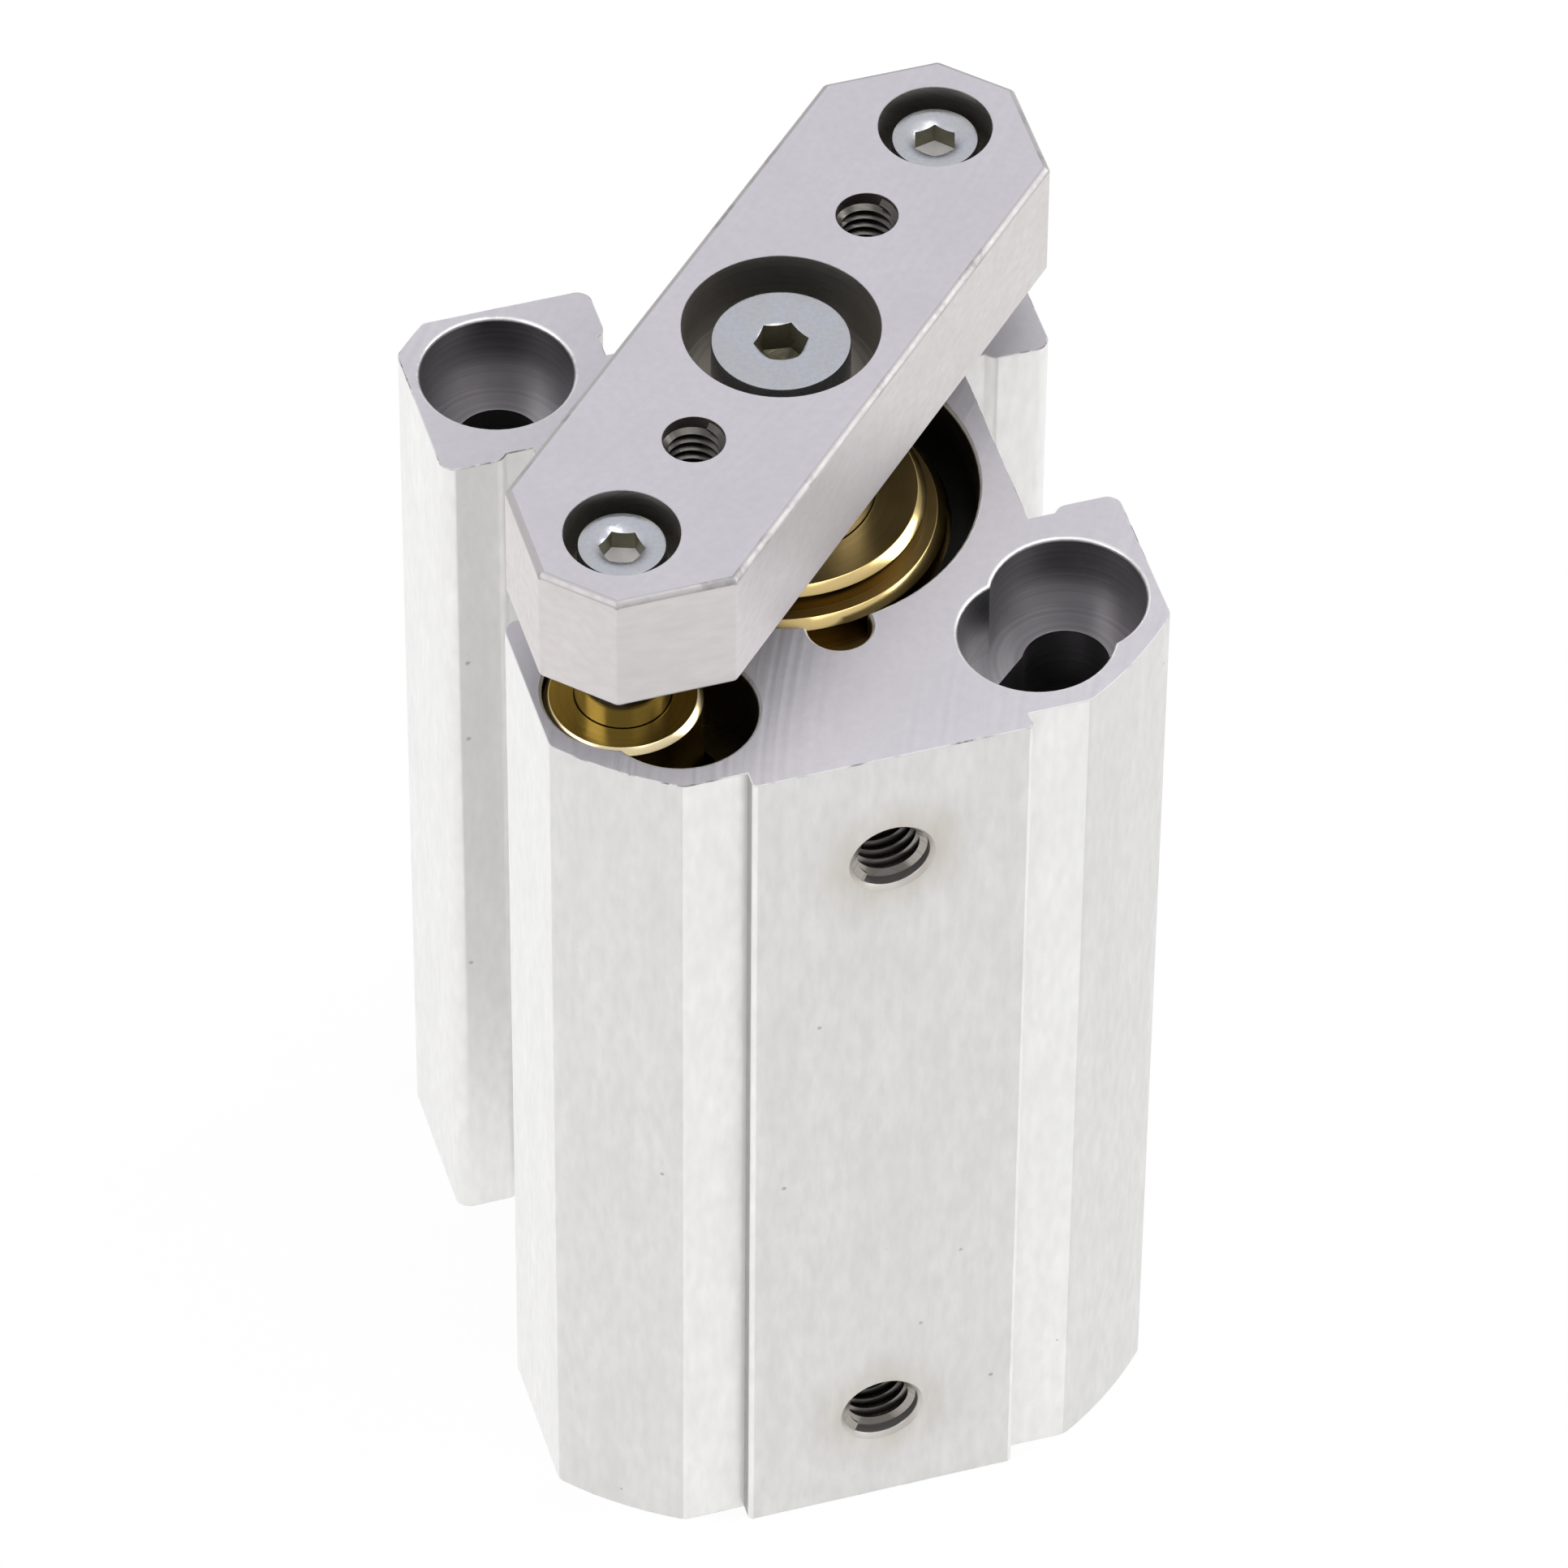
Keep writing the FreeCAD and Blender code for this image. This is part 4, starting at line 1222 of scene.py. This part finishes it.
@dataclass
class ToolPlate:
    """The diagonal plate with its tapped holes and the rod's screw."""

    edge: float = 0.13
    inner_edge: float = 0.05
    end_depth: float = 0.05
    tap: ThreadRidge = ThreadRidge(nominal=4.0, pitch=0.7, length=8.3, steps=36)
    tap_start: float = 0.3
    tap_room: float = 0.3
    tap_mouth: float = 1.95
    flat_slope: float = 0.9
    upright_slope: float = 0.2
    screw: SocketScrew = SocketScrew(thread=5.0, pitch=0.8, head=8.7, height=3.5, socket=3.0,
                                     socket_depth=2.2, rim=0.05, round=0.18)
    screw_turn: float = 22.0
    ends: Pair = field(default_factory=lambda: heights("tool_plate"))
    drillings: list[Drilling] = field(default_factory=lambda: [
        Drilling(0.0, 0.0, 6.3), Drilling(CORNER, CORNER, 3.7), Drilling(-CORNER, -CORNER, 3.7),
        Drilling(TAP_PLACE, TAP_PLACE, 2.2), Drilling(-TAP_PLACE, -TAP_PLACE, 2.2)])

    def upright(self, face: Face) -> int:
        """Rounds that stand upright keep the finish of the sides."""
        stands = face.material_index == Skin.EDGE and abs(face.normal.z) < self.upright_slope
        return Skin.DRAWN if stands else face.material_index

    def skin(self, face: Face) -> Skin:
        """Tell how a face of the plate was made, or the painted shade it carries.

        Args:
            face: The face.

        Returns:
            Its skin.
        """
        centre = face.calc_center_median() / MM
        rise = abs(face.normal.z)
        if rise > self.flat_slope:
            # The lower end face takes the darker underside finish, a painted shade.
            for end, skin in zip(self.ends, (Skin.MATT_OR_SHADED, Skin.MILLED)):
                if abs(centre.z - end) < self.end_depth:
                    return skin
            return Skin.TURNED
        if any(drilling.holds(centre.x, centre.y) for drilling in self.drillings):
            return Skin.TURNED
        return Skin.EDGE if rise > self.upright_slope else Skin.DRAWN

    def build(self) -> list[Piece]:
        """Build the plate, its threads and the rod's screw.

        Returns:
            The pieces.
        """
        taps = {"front_tap_thread": -TAP_PLACE, "back_tap_thread": TAP_PLACE}
        plate = Workpiece.from_node("tool_plate")
        reach = self.tap.nominal / 2.0 + self.tap_room
        for place in taps.values():
            plate.narrow(Vector((place, place, self.ends[1])), reach, self.tap_mouth)
        plate.sort_faces(self.skin)
        outside = (Skin.DRAWN, Skin.EDGE, Skin.MILLED, Skin.MATT_OR_SHADED)
        plate.soften(self.edge, outside, outside, Skin.EDGE, segments=3)
        plate.sort_faces(self.upright)
        plate.soften(self.inner_edge, (Skin.TURNED,), (*outside, Skin.TURNED), Skin.EDGE)
        finishes = (PLATE_SIDES, PLATE_FACES, PLATE_HOLE_SHADE, PLATE_EDGES, PLATE_UNDER_SHADE)
        slot = "plate_aluminium"
        pieces = [plate.release("diagonal_plate", Carrier.SLIDE, slot, finishes, "tool_plate")]
        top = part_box("tool_plate")[1].z
        for name, place in taps.items():
            mouth = Vector((place * MM, place * MM, top - self.tap_start * MM))
            thread = self.tap.line(mouth, UP)
            pieces.append(thread.release(name, Carrier.SLIDE, slot, (TAP_THREAD_SHADE,)))
        pieces.append(self.screw.build("rod_screw", "low_head_screw", self.screw_turn))
        return pieces


@dataclass(frozen=True)
class Lamp:
    """A square lamp: its direction in degrees, its distance and side in metres, its power in watts."""

    azimuth: float
    elevation: float
    distance: float
    power: float
    size: float = 0.5


@dataclass
class Studio:
    """A white floor, soft light and the camera."""

    floor_size: float = 6.0
    floor_drop: float = 0.02
    floor_colour: Colour = (0.94, 0.94, 0.94)
    white_share: float = 0.92
    sensor: float = 36.0
    lens: float = 261.49
    azimuth: float = -16.985
    elevation: float = 46.908
    roll: float = 0.492
    aim: Triple = (0.0, 0.0, 70.3)
    shift_right: float = 0.2516
    shift_down: float = 18.826
    distance: float = 712.51
    overhead: Colour = (0.76, 0.75, 0.79)
    horizon: Colour = (0.25, 0.25, 0.25)
    dusk: Pair = (0.1, 0.6)
    lamps: dict[str, Lamp] = field(default_factory=lambda: {
        "left_softbox": Lamp(azimuth=-84.0, elevation=36.0, distance=0.8, power=2.3),
        "right_softbox": Lamp(azimuth=84.0, elevation=30.0, distance=0.9, power=3.3),
        "top_softbox": Lamp(azimuth=35.0, elevation=70.0, distance=0.9, power=1.3)})

    def build(self) -> None:
        """Set up the view, the floor, the world and the lamps."""
        bpy.context.scene.view_settings.view_transform = "Standard"
        self.place_camera()
        self.lay_floor()
        self.light_world()
        for name, lamp in self.lamps.items():
            self.hang_lamp(name, lamp)

    @staticmethod
    def direction(azimuth: float, elevation: float) -> Vector:
        """The direction towards a place round the object, from the front and counted to the right."""
        turn, rise = math.radians(azimuth), math.radians(elevation)
        return Vector((math.sin(turn) * math.cos(rise), -math.cos(turn) * math.cos(rise), math.sin(rise)))

    def place_camera(self) -> None:
        """Stand the camera where the photograph was taken."""
        back = self.direction(self.azimuth, self.elevation)
        level = Vector((math.cos(math.radians(self.azimuth)), math.sin(math.radians(self.azimuth)), 0.0))
        below = (-back).cross(level)
        roll = math.radians(self.roll)
        right = level * math.cos(roll) - below * math.sin(roll)
        down = level * math.sin(roll) + below * math.cos(roll)
        data = bpy.data.cameras.new("camera")
        data.sensor_width = self.sensor
        data.lens = self.lens
        camera = add_object("camera", data)
        place = Vector(self.aim) + right * self.shift_right + down * self.shift_down + back * self.distance
        turned = Matrix((right, -down, back)).transposed()
        camera.matrix_world = Matrix.Translation(place * MM) @ turned.to_4x4()
        bpy.context.scene.camera = camera

    def lay_floor(self) -> None:
        """Lay the white floor just under the body."""
        sheet = bmesh.new()
        bmesh.ops.create_grid(sheet, x_segments=1, y_segments=1, size=self.floor_size / 2.0)
        bmesh.ops.translate(sheet, verts=sheet.verts, vec=-UP * self.floor_drop * MM)
        data = bpy.data.meshes.new("floor")
        sheet.to_mesh(data)
        sheet.free()
        data.materials.append(self.floor_material())
        floor = add_object("floor", data)

    def floor_material(self) -> Material:
        """Pale board that looks white to the camera and in metal, and keeps a soft shadow.

        Returns:
            The material.
        """
        made = bpy.data.materials.new("pale_floor")
        made.use_nodes = True
        wiring = Wiring(made.node_tree)
        board = wiring.node("ShaderNodeBsdfDiffuse", {"Color": (*self.floor_colour, 1.0)}).outputs[0]
        glow = wiring.node("ShaderNodeEmission", {"Color": WHITE, "Strength": 1.0}).outputs[0]
        rays = wiring.node("ShaderNodeLightPath").outputs
        seen = wiring.math("MAXIMUM", rays["Is Camera Ray"], rays["Is Glossy Ray"])
        seen = wiring.math("MAXIMUM", seen, rays["Is Transmission Ray"])
        share = wiring.math("MULTIPLY", seen, self.white_share)
        mixed = wiring.node("ShaderNodeMixShader", {0: share, 1: board, 2: glow}).outputs[0]
        wiring.node("ShaderNodeOutputMaterial", {"Surface": mixed})
        return made

    def light_world(self) -> None:
        """A soft room: dim round the horizon, pale overhead, white to the camera."""
        world = bpy.data.worlds.new("soft_room")
        world.use_nodes = True
        wiring = Wiring(world.node_tree)
        place = wiring.node("ShaderNodeTexCoord").outputs["Generated"]
        height = wiring.node("ShaderNodeSeparateXYZ", {"Vector": place}).outputs["Z"]
        room = wiring.blend(wiring.band(height, *self.dusk), (*self.horizon, 1.0), (*self.overhead, 1.0))
        camera = wiring.node("ShaderNodeLightPath").outputs["Is Camera Ray"]
        colour = wiring.blend(camera, room, WHITE)
        sky = wiring.node("ShaderNodeBackground", {"Color": colour, "Strength": 1.0}).outputs[0]
        wiring.node("ShaderNodeOutputWorld", {"Surface": sky})
        bpy.context.scene.world = world

    def hang_lamp(self, name: str, lamp: Lamp) -> None:
        """Hang a lamp that looks at the body's foot.

        Args:
            name: The lamp's name.
            lamp: Where it hangs, and its size and power.
        """
        data = bpy.data.lights.new(name, "AREA")
        data.size = lamp.size
        data.energy = lamp.power
        hung = add_object(name, data)
        hung.location = self.direction(lamp.azimuth, lamp.elevation) * lamp.distance
        hung.rotation_euler = hung.location.to_track_quat("Z", "Y").to_euler()


def main() -> None:
    """Build every sub-assembly and the studio, and report each piece."""
    logging.basicConfig(level=logging.INFO, format="%(name)s: %(message)s")
    for assembly in (Barrel(), RodEnd(), HeadEnd(), Piston(), GuideSet(), ToolPlate()):
        for piece in assembly.build():
            LOG.info("%s: %s, %d faces", type(assembly).__name__, piece.name, len(piece.data.polygons))
    Studio().build()


if __name__ == "__main__":
    main()
